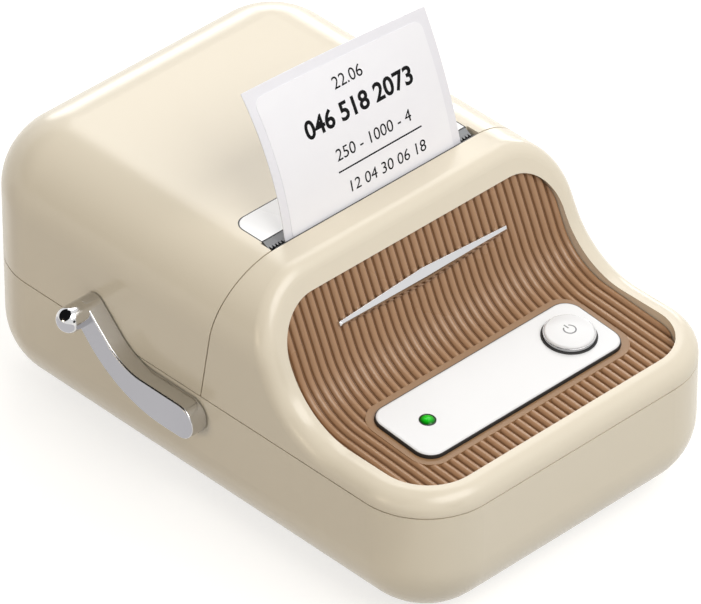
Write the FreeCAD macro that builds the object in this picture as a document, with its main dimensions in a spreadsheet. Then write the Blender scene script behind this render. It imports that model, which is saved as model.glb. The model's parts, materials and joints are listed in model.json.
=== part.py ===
import FreeCAD, Part
import math
import os
import Sketcher

# Retro label printer: cream shells, a fluted front, a hinged rear lid and a side lever.
# +Z is up, the front faces -Y, the lever is on the -X side.
# The origin is the middle of the part on the plane that its foot ring stands on.

Vector = FreeCAD.Vector

# Driving dimensions in millimetres and degrees.
SIZES = {
    # case
    "body_length": 132.0,
    "body_width": 85.4,
    "body_height": 60.3,
    "front_corner": 16.2,
    "rear_corner": 17.0,
    "top_round": 15.6,
    "bottom_round": 15.1,
    "wall": 2.2,
    "seam_height": 28.8,
    "seam_gap": 0.3,
    "lip_height": 1.5,
    "lip_depth": 3.5,
    "lip_thick": 0.95,
    "lip_play": 0.25,
    "parting_low": 2.8,
    "parting_high": 8.4,
    # foot ring
    "foot_stand": 1.0,
    "foot_seat": 0.8,
    "foot_length": 96.0,
    "foot_width": 48.0,
    "foot_band": 5.0,
    "foot_corner": 12.0,
    # front cover
    "crest_height": 33.5,
    "crest_front": 15.8,
    "crest_lean": 26.5,
    "crest_bend": 18.0,
    "rim_round": 4.0,
    "rim_width": 5.1,
    "front_rim": 4.5,
    "recess_height": 55.2,
    "ledge_width": 2.5,
    "ledge_thick": 1.4,
    "ledge_from": 50.0,
    # fluted panel
    "reed_deck": 32.0,
    "reed_deck_from": 45.0,
    "deck_slope": 4.5,
    "reed_steep": 21.8,
    "reed_steep_height": 45.5,
    "reed_lean": 24.0,
    "reed_bend": 15.0,
    "reed_pitch": 2.0,
    "reed_width": 1.56,
    "panel_base": 1.0,
    "panel_play": 0.15,
    # control plate and button
    "plate_back": 43.1,
    "plate_length": 55.2,
    "plate_depth": 17.4,
    "plate_corner": 3.8,
    "plate_proud": 1.0,
    "plate_sink": 0.9,
    "plate_play": 0.5,
    "border_band": 1.2,
    "button_offset": 19.6,
    "button_radius": 5.4,
    "button_ring": 0.7,
    "button_play": 0.3,
    "button_rise": 1.3,
    "button_dome": 0.8,
    "button_travel": 0.4,
    "button_stem": 1.5,
    "lens_radius": 1.65,
    "lens_play": 0.05,
    # trim bar
    "trim_length": 46.0,
    "trim_height": 3.4,
    "trim_tip": 1.0,
    "trim_thick": 1.6,
    "trim_level": 46.5,
    "trim_pin": 0.7,
    "pin_play": 0.05,
    # lid hinge
    "knuckle_radius": 2.0,
    "knuckle_relief": 0.35,
    "hinge_pin_radius": 0.8,
    "lid_knuckle": 23.4,
    "base_knuckle": 8.0,
    "running_play": 0.05,
    # slot and tear bar
    "slot_half": 28.4,
    "slot_middle": 7.3,
    "slot_clear": 0.4,
    "tear_front": 5.1,
    "tear_depth": 8.5,
    "tear_length": 55.4,
    "tear_thick": 1.0,
    "tear_corner": 3.0,
    "tear_play": 0.25,
    "blade_reach": 1.2,
    "blade_drop": 0.8,
    "blade_thick": 0.5,
    "blade_tail": 2.4,
    "tooth_pitch": 0.8,
    "tooth_depth": 0.4,
    # label and roll
    "label_width": 48.0,
    "paper_thick": 0.2,
    "paper_play": 0.3,
    "label_out": 30.9,
    "label_slant": 2.0,
    "label_margin": 2.0,
    "label_corner": 2.0,
    "label_face_thick": 0.1,
    "roll_back": 31.0,
    "roll_level": 31.0,
    "roll_radius": 20.0,
    "core_radius": 8.0,
    "core_wall": 1.5,
    # platen and gears
    "platen_radius": 4.0,
    "platen_length": 49.2,
    "platen_shaft": 2.0,
    "nip_level": 52.2,
    "gear_module": 0.5,
    "gear_width": 3.0,
    "gear_play": 0.12,
    "pressure_angle": 25.0,
    "platen_teeth": 16.0,
    "idler_teeth": 24.0,
    "pinion_teeth": 16.0,
    "gear_place": 27.6,
    "ear_place": 31.4,
    "ear_thick": 2.0,
    "ear_wall": 1.2,
    "bush_wall": 1.0,
    # mechanism frame
    "cheek_place": 25.4,
    "cheek_thick": 1.4,
    "frame_floor": 9.0,
    "frame_front": 16.0,
    "frame_back": 6.0,
    "post_radius": 2.6,
    "post_x": 15.0,
    "screw_radius": 1.4,
    "screw_head": 2.6,
    "screw_head_thick": 1.4,
    "screw_length": 8.0,
    "motor_radius": 7.5,
    "motor_length": 16.0,
    "motor_shaft": 1.0,
    "idler_post": 1.5,
    "head_thick": 2.2,
    "head_length": 50.0,
    "head_below": 8.0,
    "head_above": 2.0,
    "head_pin": 0.8,
    # lever and latch
    "lever_back": 0.8,
    "lever_level": 23.9,
    "lever_shaft": 2.0,
    "lever_half": 4.0,
    "lever_thick": 3.95,
    "lever_clear": 0.35,
    "lever_reach": 28.1,
    "lever_rise": 11.4,
    "lever_waist": 16.5,
    "lever_heel": 18.2,
    "lever_inner_bend": 14.0,
    "lever_outer_bend": 30.0,
    "knob_radius": 2.75,
    "knob_length": 5.8,
    "boss_radius": 4.4,
    "boss_reach": 3.5,
    "hook_place": 33.6,
    "hook_thick": 2.6,
    "hook_hub": 4.2,
    "strike_front": 0.5,
    "strike_level": 32.0,
    "strike_radius": 1.25,
    "strike_reach": 7.5,
    "hook_play": 0.3,
    "hook_nose": 2.4,
    # roll guides
    "guide_thick": 1.8,
    "guide_radius": 17.0,
    "guide_play": 0.6,
    "guide_runner": 5.6,
    "hub_length": 4.5,
    "rod_radius": 1.5,
    "rod_spread": 7.0,
    "rod_level": 8.0,
    "rod_length": 75.6,
    "rib_thick": 1.6,
    "rib_inset": 1.4,
    # board, switch, socket and battery
    "board_level": 25.4,
    "board_thick": 1.6,
    "board_half": 31.0,
    "board_front": 57.0,
    "board_back": 26.0,
    "board_post": 2.5,
    "board_post_x": 28.0,
    "switch_size": 6.0,
    "switch_height": 1.6,
    "plunger_radius": 1.5,
    "plunger_height": 0.5,
    "led_size": 2.0,
    "led_height": 0.8,
    "socket_width": 9.0,
    "socket_height": 3.2,
    "socket_depth": 7.5,
    "socket_back": 40.0,
    "socket_shell": 0.3,
    "socket_play": 0.2,
    "battery_length": 50.0,
    "battery_depth": 30.0,
    "battery_height": 9.5,
    "battery_back": 20.0,
}

doc = FreeCAD.newDocument("label_printer")
sheet = doc.addObject("Spreadsheet::Sheet", "Sizes")
for row, (alias, number) in enumerate(SIZES.items(), start=1):
    sheet.set("A%d" % row, alias)
    sheet.set("B%d" % row, str(number))
    sheet.setAlias("B%d" % row, alias)
doc.recompute()


class Dim:
    """A length that keeps its number together with its expression on the sheet."""

    def __init__(self, value, text):
        self.value = float(value)
        self.text = text

    def __float__(self):
        return self.value

    def join(self, other, sign, value):
        return Dim(value, "(%s %s %s)" % (self.text, sign, other.text))

    def __add__(self, other):
        other = dim(other)
        return self.join(other, "+", self.value + other.value)

    def __sub__(self, other):
        other = dim(other)
        return self.join(other, "-", self.value - other.value)

    def __mul__(self, other):
        other = dim(other)
        return self.join(other, "*", self.value * other.value)

    def __truediv__(self, other):
        other = dim(other)
        return self.join(other, "/", self.value / other.value)

    def __radd__(self, other):
        return dim(other) + self

    def __rsub__(self, other):
        return dim(other) - self

    def __rmul__(self, other):
        return dim(other) * self

    def __neg__(self):
        return Dim(-self.value, "(0 - %s)" % self.text)


def dim(value):
    if isinstance(value, Dim):
        return value
    return Dim(value, "(%.9f)" % value)


def size(alias):
    return Dim(sheet.get(alias), "Sizes." + alias)


def tangent(angle):
    return Dim(math.tan(math.radians(angle.value)), "tan(%s)" % angle.text)


def sine(angle):
    return Dim(math.sin(math.radians(angle.value)), "sin(%s)" % angle.text)


def cosine(angle):
    return Dim(math.cos(math.radians(angle.value)), "cos(%s)" % angle.text)


def root(value):
    return Dim(math.sqrt(value.value), "sqrt(%s)" % value.text)


def bind(item, prop, value):
    """Tie one property of an object to the sheet."""
    item.setExpression(prop, dim(value).text)


def place(item, x=0, y=0, z=0, turn=None, axis=Vector(1, 0, 0)):
    """Put an object at x, y, z, turned about an axis, all tied to the sheet."""
    spot = Vector(float(x), float(y), float(z))
    angle = dim(0 if turn is None else turn)
    item.Placement = FreeCAD.Placement(spot, FreeCAD.Rotation(axis, angle.value))
    for name, value in (("x", x), ("y", y), ("z", z)):
        bind(item, "Placement.Base." + name, value)
    if turn is not None:
        bind(item, "Placement.Rotation.Angle", angle)
    return item


def box(label, x, y, z):
    """A box between pairs of coordinates (low, high)."""
    item = doc.addObject("Part::Box", label)
    for prop, (low, high) in (("Length", x), ("Width", y), ("Height", z)):
        bind(item, prop, dim(high) - low)
    return place(item, x[0], y[0], z[0])


AXIS_TURN = {"x": (Vector(0, 1, 0), 90), "y": (Vector(1, 0, 0), -90), "z": (Vector(0, 0, 1), 0)}


def rod(label, radius, length, along, x=0, y=0, z=0):
    """A cylinder that starts at x, y, z and runs along a positive axis."""
    item = doc.addObject("Part::Cylinder", label)
    bind(item, "Radius", radius)
    bind(item, "Height", length)
    axis, angle = AXIS_TURN[along]
    return place(item, x, y, z, dim(angle), axis)


def cut(label, base, *tools):
    tool = tools[0] if len(tools) == 1 else fuse(label + "_tools", *tools)
    item = doc.addObject("Part::Cut", label)
    item.Base = base
    item.Tool = tool
    return item


def fuse(label, *shapes):
    item = doc.addObject("Part::MultiFuse", label)
    item.Shapes = list(shapes)
    return item


def common(label, *shapes):
    item = doc.addObject("Part::MultiCommon", label)
    item.Shapes = list(shapes)
    return item


def corner_arc(before, corner, after, radius):
    """The points where a rounding of a sharp corner starts, has its middle and ends."""
    to_before = (before - corner).normalize()
    to_after = (after - corner).normalize()
    half = to_before.getAngle(to_after) / 2
    reach = radius / math.tan(half)
    middle = (to_before + to_after).normalize()
    depth = radius / math.sin(half) - radius
    return corner + to_before * reach, corner + middle * depth, corner + to_after * reach


def draw(sketch, corners):
    """Draw a closed outline of corners (x, y, rounding), each tied to the sheet."""
    points = [Vector(float(x), float(y), 0) for x, y, _ in corners]
    count = len(points)
    starts, ends, arcs = [], [], {}
    for i, (_, _, rounding) in enumerate(corners):
        if float(rounding) > 0:
            first, middle, last = corner_arc(
                points[i - 1], points[i], points[(i + 1) % count], float(rounding))
            arcs[i] = (first, middle, last)
            ends.append(first)
            starts.append(last)
        else:
            ends.append(points[i])
            starts.append(points[i])
    lines = []
    for i in range(count):
        after = (i + 1) % count
        lines.append(sketch.addGeometry(Part.LineSegment(starts[i], ends[after]), False))
    for i, (x, y, rounding) in enumerate(corners):
        before, after = lines[i - 1], lines[i]
        if i in arcs:
            arc = sketch.addGeometry(Part.Arc(*arcs[i]), False)
            first, last = arc_ends(sketch, arc, arcs[i][0])
            sketch.addConstraint(Sketcher.Constraint("Tangent", before, 2, arc, first))
            sketch.addConstraint(Sketcher.Constraint("Tangent", arc, last, after, 1))
            index = sketch.addConstraint(Sketcher.Constraint("Radius", arc, float(rounding)))
            sketch.setExpression("Constraints[%d]" % index, dim(rounding).text)
            spot = sketch.addGeometry(Part.Point(points[i]), True)
            sketch.addConstraint(Sketcher.Constraint("PointOnObject", spot, 1, before))
            sketch.addConstraint(Sketcher.Constraint("PointOnObject", spot, 1, after))
            target = (spot, 1)
        else:
            sketch.addConstraint(Sketcher.Constraint("Coincident", before, 2, after, 1))
            target = (after, 1)
        for kind, value in (("DistanceX", x), ("DistanceY", y)):
            index = sketch.addConstraint(Sketcher.Constraint(kind, -1, 1, *target, float(value)))
            sketch.setExpression("Constraints[%d]" % index, dim(value).text)


def arc_ends(sketch, arc, first):
    """Which end of a drawn arc lies at its first point."""
    start = sketch.getPoint(arc, 1)
    return (1, 2) if start.distanceToPoint(first) < 1e-6 else (2, 1)


def prism(label, plane, corners, start, length):
    """A body padded from an outline on one of its own origin planes."""
    body = doc.addObject("PartDesign::Body", label)
    sketch = body.newObject("Sketcher::SketchObject", label + "_outline")
    face = [item for item in body.Origin.OriginFeatures if item.Role == plane + "_Plane"][0]
    sketch.AttachmentSupport = [(face, "")]
    sketch.MapMode = "FlatFace"
    sketch.AttachmentOffset = FreeCAD.Placement(Vector(0, 0, float(start)), FreeCAD.Rotation())
    bind(sketch, "AttachmentOffset.Base.z", start)
    draw(sketch, corners)
    pad = body.newObject("PartDesign::Pad", label + "_pad")
    pad.Profile = sketch
    bind(pad, "Length", length)
    body.Tip = pad
    return body


def rectangle(x, y, rounding=0):
    """Corners of a rectangle between pairs of coordinates, with equal rounding."""
    return [(x[0], y[0], rounding), (x[1], y[0], rounding),
            (x[1], y[1], rounding), (x[0], y[1], rounding)]


def round_edges(body, label, radius, wanted):
    """Round the edges of a body that a test picks out."""
    doc.recompute()
    base = body.Tip
    names = ["Edge%d" % (i + 1) for i, edge in enumerate(base.Shape.Edges) if wanted(edge)]
    fillet = body.newObject("PartDesign::Fillet", label)
    fillet.Base = (base, names)
    bind(fillet, "Radius", radius)
    body.Tip = fillet
    return fillet


def at_height(level):
    """A test for edges that lie at one height."""
    def test(edge):
        low, high = edge.BoundBox.ZMin, edge.BoundBox.ZMax
        return abs(low - float(level)) < 1e-4 and abs(high - float(level)) < 1e-4
    return test


# Levels and half sizes that many pieces share.
half_length = size("body_length") / 2
half_width = size("body_width") / 2
case_bottom = size("foot_stand")
case_top = case_bottom + size("body_height")
case_floor = case_bottom + size("wall")
seam = case_bottom + size("seam_height")
seam_low = seam - size("seam_gap") / 2
seam_high = seam + size("seam_gap") / 2
wide = size("body_width") + 2 * size("knob_length") + 2 * size("lever_thick")
play = size("running_play")


def plan_corners(inset):
    """Plan outline of the case, moved in by an inset."""
    side = half_width - inset
    end = half_length - inset
    front = size("front_corner") - inset
    rear = size("rear_corner") - inset
    return [(-side, -end, front), (side, -end, front), (side, end, rear), (-side, end, rear)]


def envelope(label, inset):
    """The rounded form of the whole case, moved in by an inset."""
    low = case_bottom + inset
    high = case_top - inset
    body = prism(label, "XY", plan_corners(inset), low, high - low)
    round_edges(body, label + "_top", size("top_round") - inset, at_height(high))
    round_edges(body, label + "_bottom", size("bottom_round") - inset, at_height(low))
    return body


def yz_prism(label, corners, half=None):
    """A prism across the case, from an outline of (y, z) corners."""
    half = wide if half is None else half
    return prism(label, "YZ", corners, -half, 2 * half)


def parting(level, shift=0):
    """Where the leaning joint between lid and front cover lies at one height."""
    lean = (size("parting_high") - size("parting_low")) / (case_top - seam)
    return shift - size("parting_low") - (level - seam) * lean


outer = envelope("outer_form", dim(0))
inner = envelope("inner_form", size("wall"))
shell = cut("shell_form", outer, inner)

# Hinge line of the lid, on the rear face at the height of the seam.
hinge_y = half_length
hinge_z = seam

# Lever shaft, platen, roll and gear places in the side view.
lever_y = -size("lever_back")
lever_z = case_bottom + size("lever_level")
roll_y = size("roll_back")
roll_z = case_bottom + size("roll_level")
paper_sweep = root((hinge_y + size("slot_middle")) * (hinge_y + size("slot_middle"))
                   + (case_top - hinge_z) * (case_top - hinge_z))
nip_z = case_bottom + size("nip_level")
nip_drop = (nip_z - hinge_z) / paper_sweep
nip_run = root(1 - nip_drop * nip_drop)
platen_sweep = paper_sweep - size("paper_play") - size("platen_radius")
platen_y = hinge_y - platen_sweep * nip_run
platen_z = hinge_z + platen_sweep * nip_drop
ear_radius = size("platen_shaft") + size("bush_wall") + size("ear_wall")
idler_step = size("gear_module") * (size("platen_teeth") + size("idler_teeth")) / 2
idler_y = platen_y - idler_step * nip_drop
idler_z = platen_z - idler_step * nip_run
motor_y = idler_y
motor_z = idler_z - size("gear_module") * (size("idler_teeth") + size("pinion_teeth")) / 2

# Fluted surface in the side view: a gently sloping deck and a steep rise, joined by a bend.
deck_rise = tangent(size("deck_slope"))
steep_run = tangent(size("reed_lean"))


def deck_level(y):
    """Height of the reed tops on the deck."""
    return case_bottom + size("reed_deck") + (y + size("reed_deck_from")) * deck_rise


steep_y = -size("reed_steep")
steep_z = case_bottom + size("reed_steep_height")
bend_z = ((deck_level(steep_y) - steep_z * deck_rise * steep_run) / (1 - deck_rise * steep_run))
bend_y = steep_y - (steep_z - bend_z) * steep_run
reed_height = size("reed_width") / 2
panel_thick = size("panel_base") + reed_height


def under_reeds(depth, low):
    """Corners of the region that lies deeper than a depth below the reed tops."""
    front = -half_length - size("wall")
    # the two offset lines cross on the bisector of the bend
    half_turn = (90 - size("reed_lean") - size("deck_slope")) / 2
    out = depth / cosine(half_turn)
    aim = half_turn + size("deck_slope")
    cross_y = bend_y + out * sine(aim)
    cross_z = bend_z - out * cosine(aim)
    top = case_top + size("wall")
    top_y = cross_y + (top - cross_z) * steep_run
    back = half_length
    front_z = cross_z + (front - cross_y) * deck_rise
    bend = size("reed_bend") + depth
    return [(front, low, 0), (front, front_z, 0), (cross_y, cross_z, bend), (top_y, top, 0),
            (back, top, 0), (back, low, 0)]


recess_top = case_bottom + size("recess_height")


def panel_outline(label, shrink):
    """The outline of the fluted field, as plan and front views cut from one block."""
    side = half_width - size("rim_width") - shrink
    front = -half_length + size("front_rim") + shrink
    corner = size("front_corner") - size("rim_width") - shrink
    crown = size("top_round") - size("rim_width") - shrink
    back = half_length
    plan = prism(label + "_plan", "XY",
                 [(-side, front, corner), (side, front, corner), (side, back, 0), (-side, back, 0)],
                 seam, case_top - seam)
    face = prism(label + "_face", "XZ",
                 [(-side, seam, 0), (side, seam, 0),
                  (side, recess_top - shrink, crown), (-side, recess_top - shrink, crown)],
                 -half_length, 2 * half_length)
    return common(label, plan, face)


def crest_faces(shape):
    """Faces of the front cover's crest, between its top and its front wall."""
    found = []
    for face in shape.Faces:
        u_low, u_high, v_low, v_high = face.ParameterRange
        normal = face.normalAt((u_low + u_high) / 2, (v_low + v_high) / 2)
        middle = face.valueAt((u_low + u_high) / 2, (v_low + v_high) / 2)
        level = abs(normal.x) < 1e-6 and normal.y < 1e-6 and normal.z > -1e-6
        on_top = abs(middle.z - float(case_top)) < 1e-4
        on_front = abs(middle.y + float(half_length)) < 1e-4
        if level and not on_top and not on_front:
            found.append(face)
    return found


def front_form():
    """Solid form of the front cover: case form, swept crest and rounded rim."""
    body = prism("front_form", "XY", plan_corners(dim(0)), seam_high, case_top - seam_high)
    round_edges(body, "front_form_top", size("top_round"), at_height(case_top))
    crest = case_bottom + size("crest_height")
    run = tangent(size("crest_lean"))
    above = case_top + size("wall")
    ahead = -half_length - size("wall")
    behind = half_length + size("wall")
    crest_y = -size("crest_front")
    corners = [(ahead, crest, 0),
               (crest_y - (case_top - crest) * run, crest, size("crest_bend")),
               (crest_y + (above - case_top) * run, above, 0),
               (ahead, above, 0)]
    pocket_across(body, "front_form_crest", corners)
    gap = size("seam_gap") / 2
    corners = [(parting(seam, -gap), seam, 0), (behind, seam, 0), (behind, above, 0),
               (parting(above, -gap), above, 0)]
    pocket_across(body, "front_form_parting", corners)
    doc.recompute()
    shape = body.Tip.Shape
    crest_set = crest_faces(shape)

    def on_rim(edge):
        faces = shape.ancestorsOfType(edge, Part.Face)
        inside = [face for face in faces if any(face.isSame(other) for other in crest_set)]
        edge_low = edge.BoundBox.YMax
        return len(inside) == 1 and edge_low < float(parting(case_top)) - float(gap) - 1e-3

    round_edges(body, "front_form_rim", size("rim_round"), on_rim)
    return body


def pocket_across(body, label, corners):
    """Cut an outline of (y, z) corners right across a body."""
    sketch = body.newObject("Sketcher::SketchObject", label + "_outline")
    face = [item for item in body.Origin.OriginFeatures if item.Role == "YZ_Plane"][0]
    sketch.AttachmentSupport = [(face, "")]
    sketch.MapMode = "FlatFace"
    draw(sketch, corners)
    pocket = body.newObject("PartDesign::Pocket", label)
    pocket.Profile = sketch
    pocket.Type = "ThroughAll"
    pocket.Midplane = True
    body.Tip = pocket
    return pocket


nodes = []


def node(label, item):
    """Name a finished sub-part: the label is also the name of its file."""
    item.Label = label
    nodes.append(item)
    return item


def mirrored_rods(label, radius, length, x, y, z):
    """Two rods along X, mirrored about the middle plane, the first starting at +x."""
    right = rod(label + "_right_form", radius, length, "x", x, y, z)
    left = rod(label + "_left_form", radius, length, "x", -x - length, y, z)
    return left, right


def tube(label, inner_radius, outer_radius, length, x, y, z):
    """A tube along X."""
    skin = rod(label + "_skin", outer_radius, length, "x", x, y, z)
    bore = rod(label + "_bore", inner_radius, length, "x", x, y, z)
    return cut(label + "_form", skin, bore)


gap = size("seam_gap") / 2
lid_knuckle_half = size("lid_knuckle") / 2
base_knuckle_from = lid_knuckle_half + size("seam_gap")
relief_radius = size("knuckle_radius") + size("knuckle_relief")
lever_face = half_width + size("lever_clear")
inside = half_width - size("wall")
board_low = case_bottom + size("board_level")
board_top = board_low + size("board_thick")
socket_y = -size("socket_back")
socket_end = half_width - size("socket_play")
frame_low = case_bottom + size("frame_floor")
post_rows = (-size("frame_front") + 2 * size("post_radius"),
             size("frame_back") - 2 * size("post_radius"))
rod_z = case_bottom + size("rod_level")
rod_rows = (roll_y - size("rod_spread"), roll_y + size("rod_spread"))
rod_half = size("rod_length") / 2
plate_y = -size("plate_back")
plate_z = deck_level(plate_y)


def on_deck(item):
    """Set a piece made about the plate's middle onto the sloping deck."""
    return place(item, 0, plate_y, plate_z, size("deck_slope"))


def lip():
    """Tongue inside the seam that keeps the shells in line."""
    start = seam - size("lip_depth")
    step = size("wall") + size("lip_play")
    low = prism("lip_low", "XY", plan_corners(size("wall") - size("lip_play")), start, seam_low - start)
    high = prism("lip_high", "XY", plan_corners(step), start, seam + size("lip_height") - start)
    core = prism("lip_core", "XY", plan_corners(step + size("lip_thick")), start,
                 seam + size("lip_height") - start)
    return cut("lip_form", fuse("lip_steps", low, high), core)


def foot_outline(label, band, low, high):
    x = size("foot_width") / 2 - band
    y = size("foot_length") / 2 - band
    return prism(label, "XY", rectangle((-x, x), (-y, y), size("foot_corner") - band), low, high - low)


def foot_ring():
    high = case_bottom + size("foot_seat")
    skin = foot_outline("foot_skin", dim(0), dim(0), high)
    core = foot_outline("foot_core", size("foot_band"), dim(0), high)
    return node("foot_ring", cut("foot_form", skin, core))


def lower_case():
    """Base shell with its tongue, bosses, posts, hinge knuckles and openings."""
    low_half = box("low_half", (-wide, wide), (-wide, wide), (0, seam_low))
    parts = [common("low_shell", shell, low_half), lip()]
    parts += mirrored_rods("base_knuckle", size("knuckle_radius"), size("base_knuckle"),
                           base_knuckle_from, hinge_y, hinge_z)
    parts += mirrored_rods("lever_boss", size("boss_radius"), size("boss_reach") + size("wall") / 2,
                           inside - size("boss_reach"), lever_y, lever_z)
    post_y = (-size("board_front") + size("board_post"), -size("board_back") - size("board_post"))
    for row, y in enumerate(post_y):
        for side in (-1, 1):
            parts.append(rod("board_post_%d_%d" % (row, side + 1), size("board_post"),
                             board_low - case_floor, "z", side * size("board_post_x"), y, case_floor))
    for side in (-1, 1):
        near = side * (rod_half - size("rib_inset"))
        far = near + side * size("rib_thick")
        x = (near, far) if side > 0 else (far, near)
        margin = 2 * size("rod_radius")
        rib = box("rod_rib_%d" % (side + 1), x, (rod_rows[0] - margin, rod_rows[1] + margin),
                  (case_bottom, rod_z + margin))
        parts.append(common("rod_rib_form_%d" % (side + 1), rib, outer))
    tools = [rod("lid_knuckle_room", relief_radius, 2 * (lid_knuckle_half + gap), "x",
                 -lid_knuckle_half - gap, hinge_y, hinge_z)]
    tools.append(rod("hinge_bore", size("hinge_pin_radius") + play, wide, "x", -wide / 2, hinge_y, hinge_z))
    tools.append(rod("lever_bore", size("lever_shaft") + play, inside + lever_face, "x", -lever_face,
                     lever_y, lever_z))
    play_socket = size("socket_play")
    tools.append(box("socket_window", (inside - size("boss_reach"), half_width + size("wall")),
                     (socket_y - size("socket_width") / 2 - play_socket,
                      socket_y + size("socket_width") / 2 + play_socket),
                     (board_low - size("socket_height") - play_socket, board_low + play_socket)))
    skin = foot_outline("foot_seat_skin", -play, dim(0), case_bottom + size("foot_seat"))
    core = foot_outline("foot_seat_core", size("foot_band") + play, dim(0), case_bottom + size("foot_seat"))
    tools.append(cut("foot_seat_form", skin, core))
    for name, side, y in screw_spots():
        x = side * size("post_x")
        tools.append(rod(name + "_hole", size("screw_radius") + play, case_floor, "z", x, y, 0))
        tools.append(rod(name + "_sink", size("screw_head") + play,
                         case_bottom + size("screw_head_thick") + play, "z", x, y, 0))
    for row, y in enumerate(rod_rows):
        tools.append(rod("rod_seat_%d" % row, size("rod_radius") + play, size("rod_length") + 2 * play, "x",
                         -rod_half - play, y, rod_z))
    return node("lower_case", cut("lower_form", fuse("lower_block", *parts), *tools))


def screw_spots():
    """Name, side and place of each case screw."""
    spots = [(side, y) for y in post_rows for side in (-1, 1)]
    return [("case_screw_%d" % (i + 1), side, y) for i, (side, y) in enumerate(spots)]


def case_screws():
    low = case_bottom + play
    for name, side, y in screw_spots():
        x = side * size("post_x")
        head = rod(name + "_head", size("screw_head"), size("screw_head_thick"), "z", x, y, low)
        shank = rod(name + "_shank", size("screw_radius"), size("screw_length"), "z", x, y, low)
        node(name, fuse(name + "_form", head, shank))


def over_reeds(label, depth):
    """The region in front of the fluted surface, from a depth below the reed tops."""
    corners = under_reeds(depth, seam)
    front, top = corners[1], corners[3]
    return yz_prism(label, [front, corners[2], top, (front[0], top[1], 0)])


def front_cover():
    """Upper front shell: swept crest, recess with a ledge for the panel, hollow behind."""
    form = front_form()
    field = panel_outline("recess_field", dim(0))
    recess = common("recess", field, over_reeds("recess_depth", panel_thick))
    # the shell is too low for a ledge at the front, so the field goes right through there
    strip = box("front_strip", (-wide, wide), (-half_length, -size("ledge_from")), (seam, case_top))
    mouth = common("front_mouth", field, strip)
    ledge = panel_thick + size("ledge_thick")
    window = common("window", panel_outline("window_field", size("ledge_width")),
                    over_reeds("window_depth", ledge + size("wall")))
    hollow = common("front_hollow", inner, yz_prism("hollow_depth", under_reeds(ledge, seam)))
    high = size("lip_height") + size("lip_play")
    skin = prism("lip_room_skin", "XY", plan_corners(size("wall")), seam, high)
    core = prism("lip_room_core", "XY", plan_corners(size("wall") + 2 * size("lip_play") + size("lip_thick")),
                 seam, high)
    groove = cut("lip_room", skin, core)
    # the edges behind are cut round the hinge line, so that paper, gear and ears pass clear of them
    reach = size("gear_place") + size("gear_width") + size("seam_gap")
    passage = rod("slot_passage", paper_sweep + size("paper_thick") + size("slot_clear"), 2 * reach, "x",
                  -reach, hinge_y, hinge_z)
    reach = size("ear_place") + size("ear_thick") + size("seam_gap")
    ear_passage = rod("ear_passage", platen_sweep + ear_radius + size("seam_gap"), 2 * reach, "x",
                      -reach, hinge_y, hinge_z)
    return node("front_cover", cut("front_cover_form", form, recess, mouth, window, hollow, groove, passage,
                                   ear_passage))


def reed_section(side):
    """Section of the fluted panel: half-round reeds at an even pitch on a flat base."""
    pitch = float(size("reed_pitch"))
    half = float(size("reed_width")) / 2
    base = -float(size("panel_base"))
    count = int(2 * (side - half) / pitch) + 1
    first = -(count - 1) / 2 * pitch
    edges = []
    last = Vector(-side, 0, 0)
    for i in range(count):
        middle = first + i * pitch
        start = Vector(middle - half, 0, 0)
        end = Vector(middle + half, 0, 0)
        edges.append(Part.makeLine(last, start))
        edges.append(Part.Arc(start, Vector(middle, 0, half), end).toShape())
        last = end
    corners = [last, Vector(side, 0, 0), Vector(side, 0, base), Vector(-side, 0, base), Vector(-side, 0, 0)]
    edges += [Part.makeLine(a, b) for a, b in zip(corners, corners[1:])]
    return Part.Wire(edges)


def reed_path():
    """Path of the fluted surface in the side view: deck, bend and steep rise."""
    corners = under_reeds(reed_height, seam)[1:4]
    points = [Vector(0, float(y), float(z)) for y, z, _ in corners]
    start, middle, end = corner_arc(*points, float(corners[1][2]))
    return Part.Wire([Part.makeLine(points[0], start), Part.Arc(start, middle, end).toShape(),
                      Part.makeLine(end, points[2])])


def grille_panel():
    """Fluted panel with a smooth border and a seat for the control plate."""
    path = reed_path()
    section = reed_section(float(half_width))
    section.Placement = FreeCAD.Placement(path.Vertexes[0].Point,
                                          FreeCAD.Rotation(Vector(1, 0, 0), float(size("deck_slope"))))
    reeds = doc.addObject("Part::Feature", "reeds")
    reeds.Shape = path.makePipeShell([section], True, False)
    field = common("panel_field", reeds, panel_outline("panel_edge", size("panel_play")))
    room = size("plate_play")
    x = size("plate_length") / 2 + room
    y = size("plate_depth") / 2 + room
    band = size("border_band")
    corner = size("plate_corner") + room
    border = prism("plate_border", "XY", rectangle((-x - band, x + band), (-y - band, y + band), corner + band),
                   -panel_thick + size("panel_base") / 2, panel_thick - size("panel_base") / 2)
    seat = prism("plate_seat", "XY", rectangle((-x, x), (-y, y), corner), -size("plate_sink"),
                 size("plate_sink") + size("plate_proud"))
    stem = rod("stem_hole", size("button_stem") + size("button_play"), 4 * panel_thick, "z",
               size("button_offset"), 0, -2 * panel_thick)
    light = rod("lens_hole", size("lens_radius") + size("lens_play"), 4 * panel_thick, "z",
                -size("button_offset"), 0, -2 * panel_thick)
    holes = fuse("plate_holes", seat, stem, light)
    pins = fuse("trim_holes", *trim_pins("trim_hole", size("trim_pin") + size("pin_play")))
    panel = cut("panel_form", fuse("panel_block", field, on_deck(border)), on_deck(holes), on_rise(pins))
    return node("grille_panel", panel)


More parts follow.
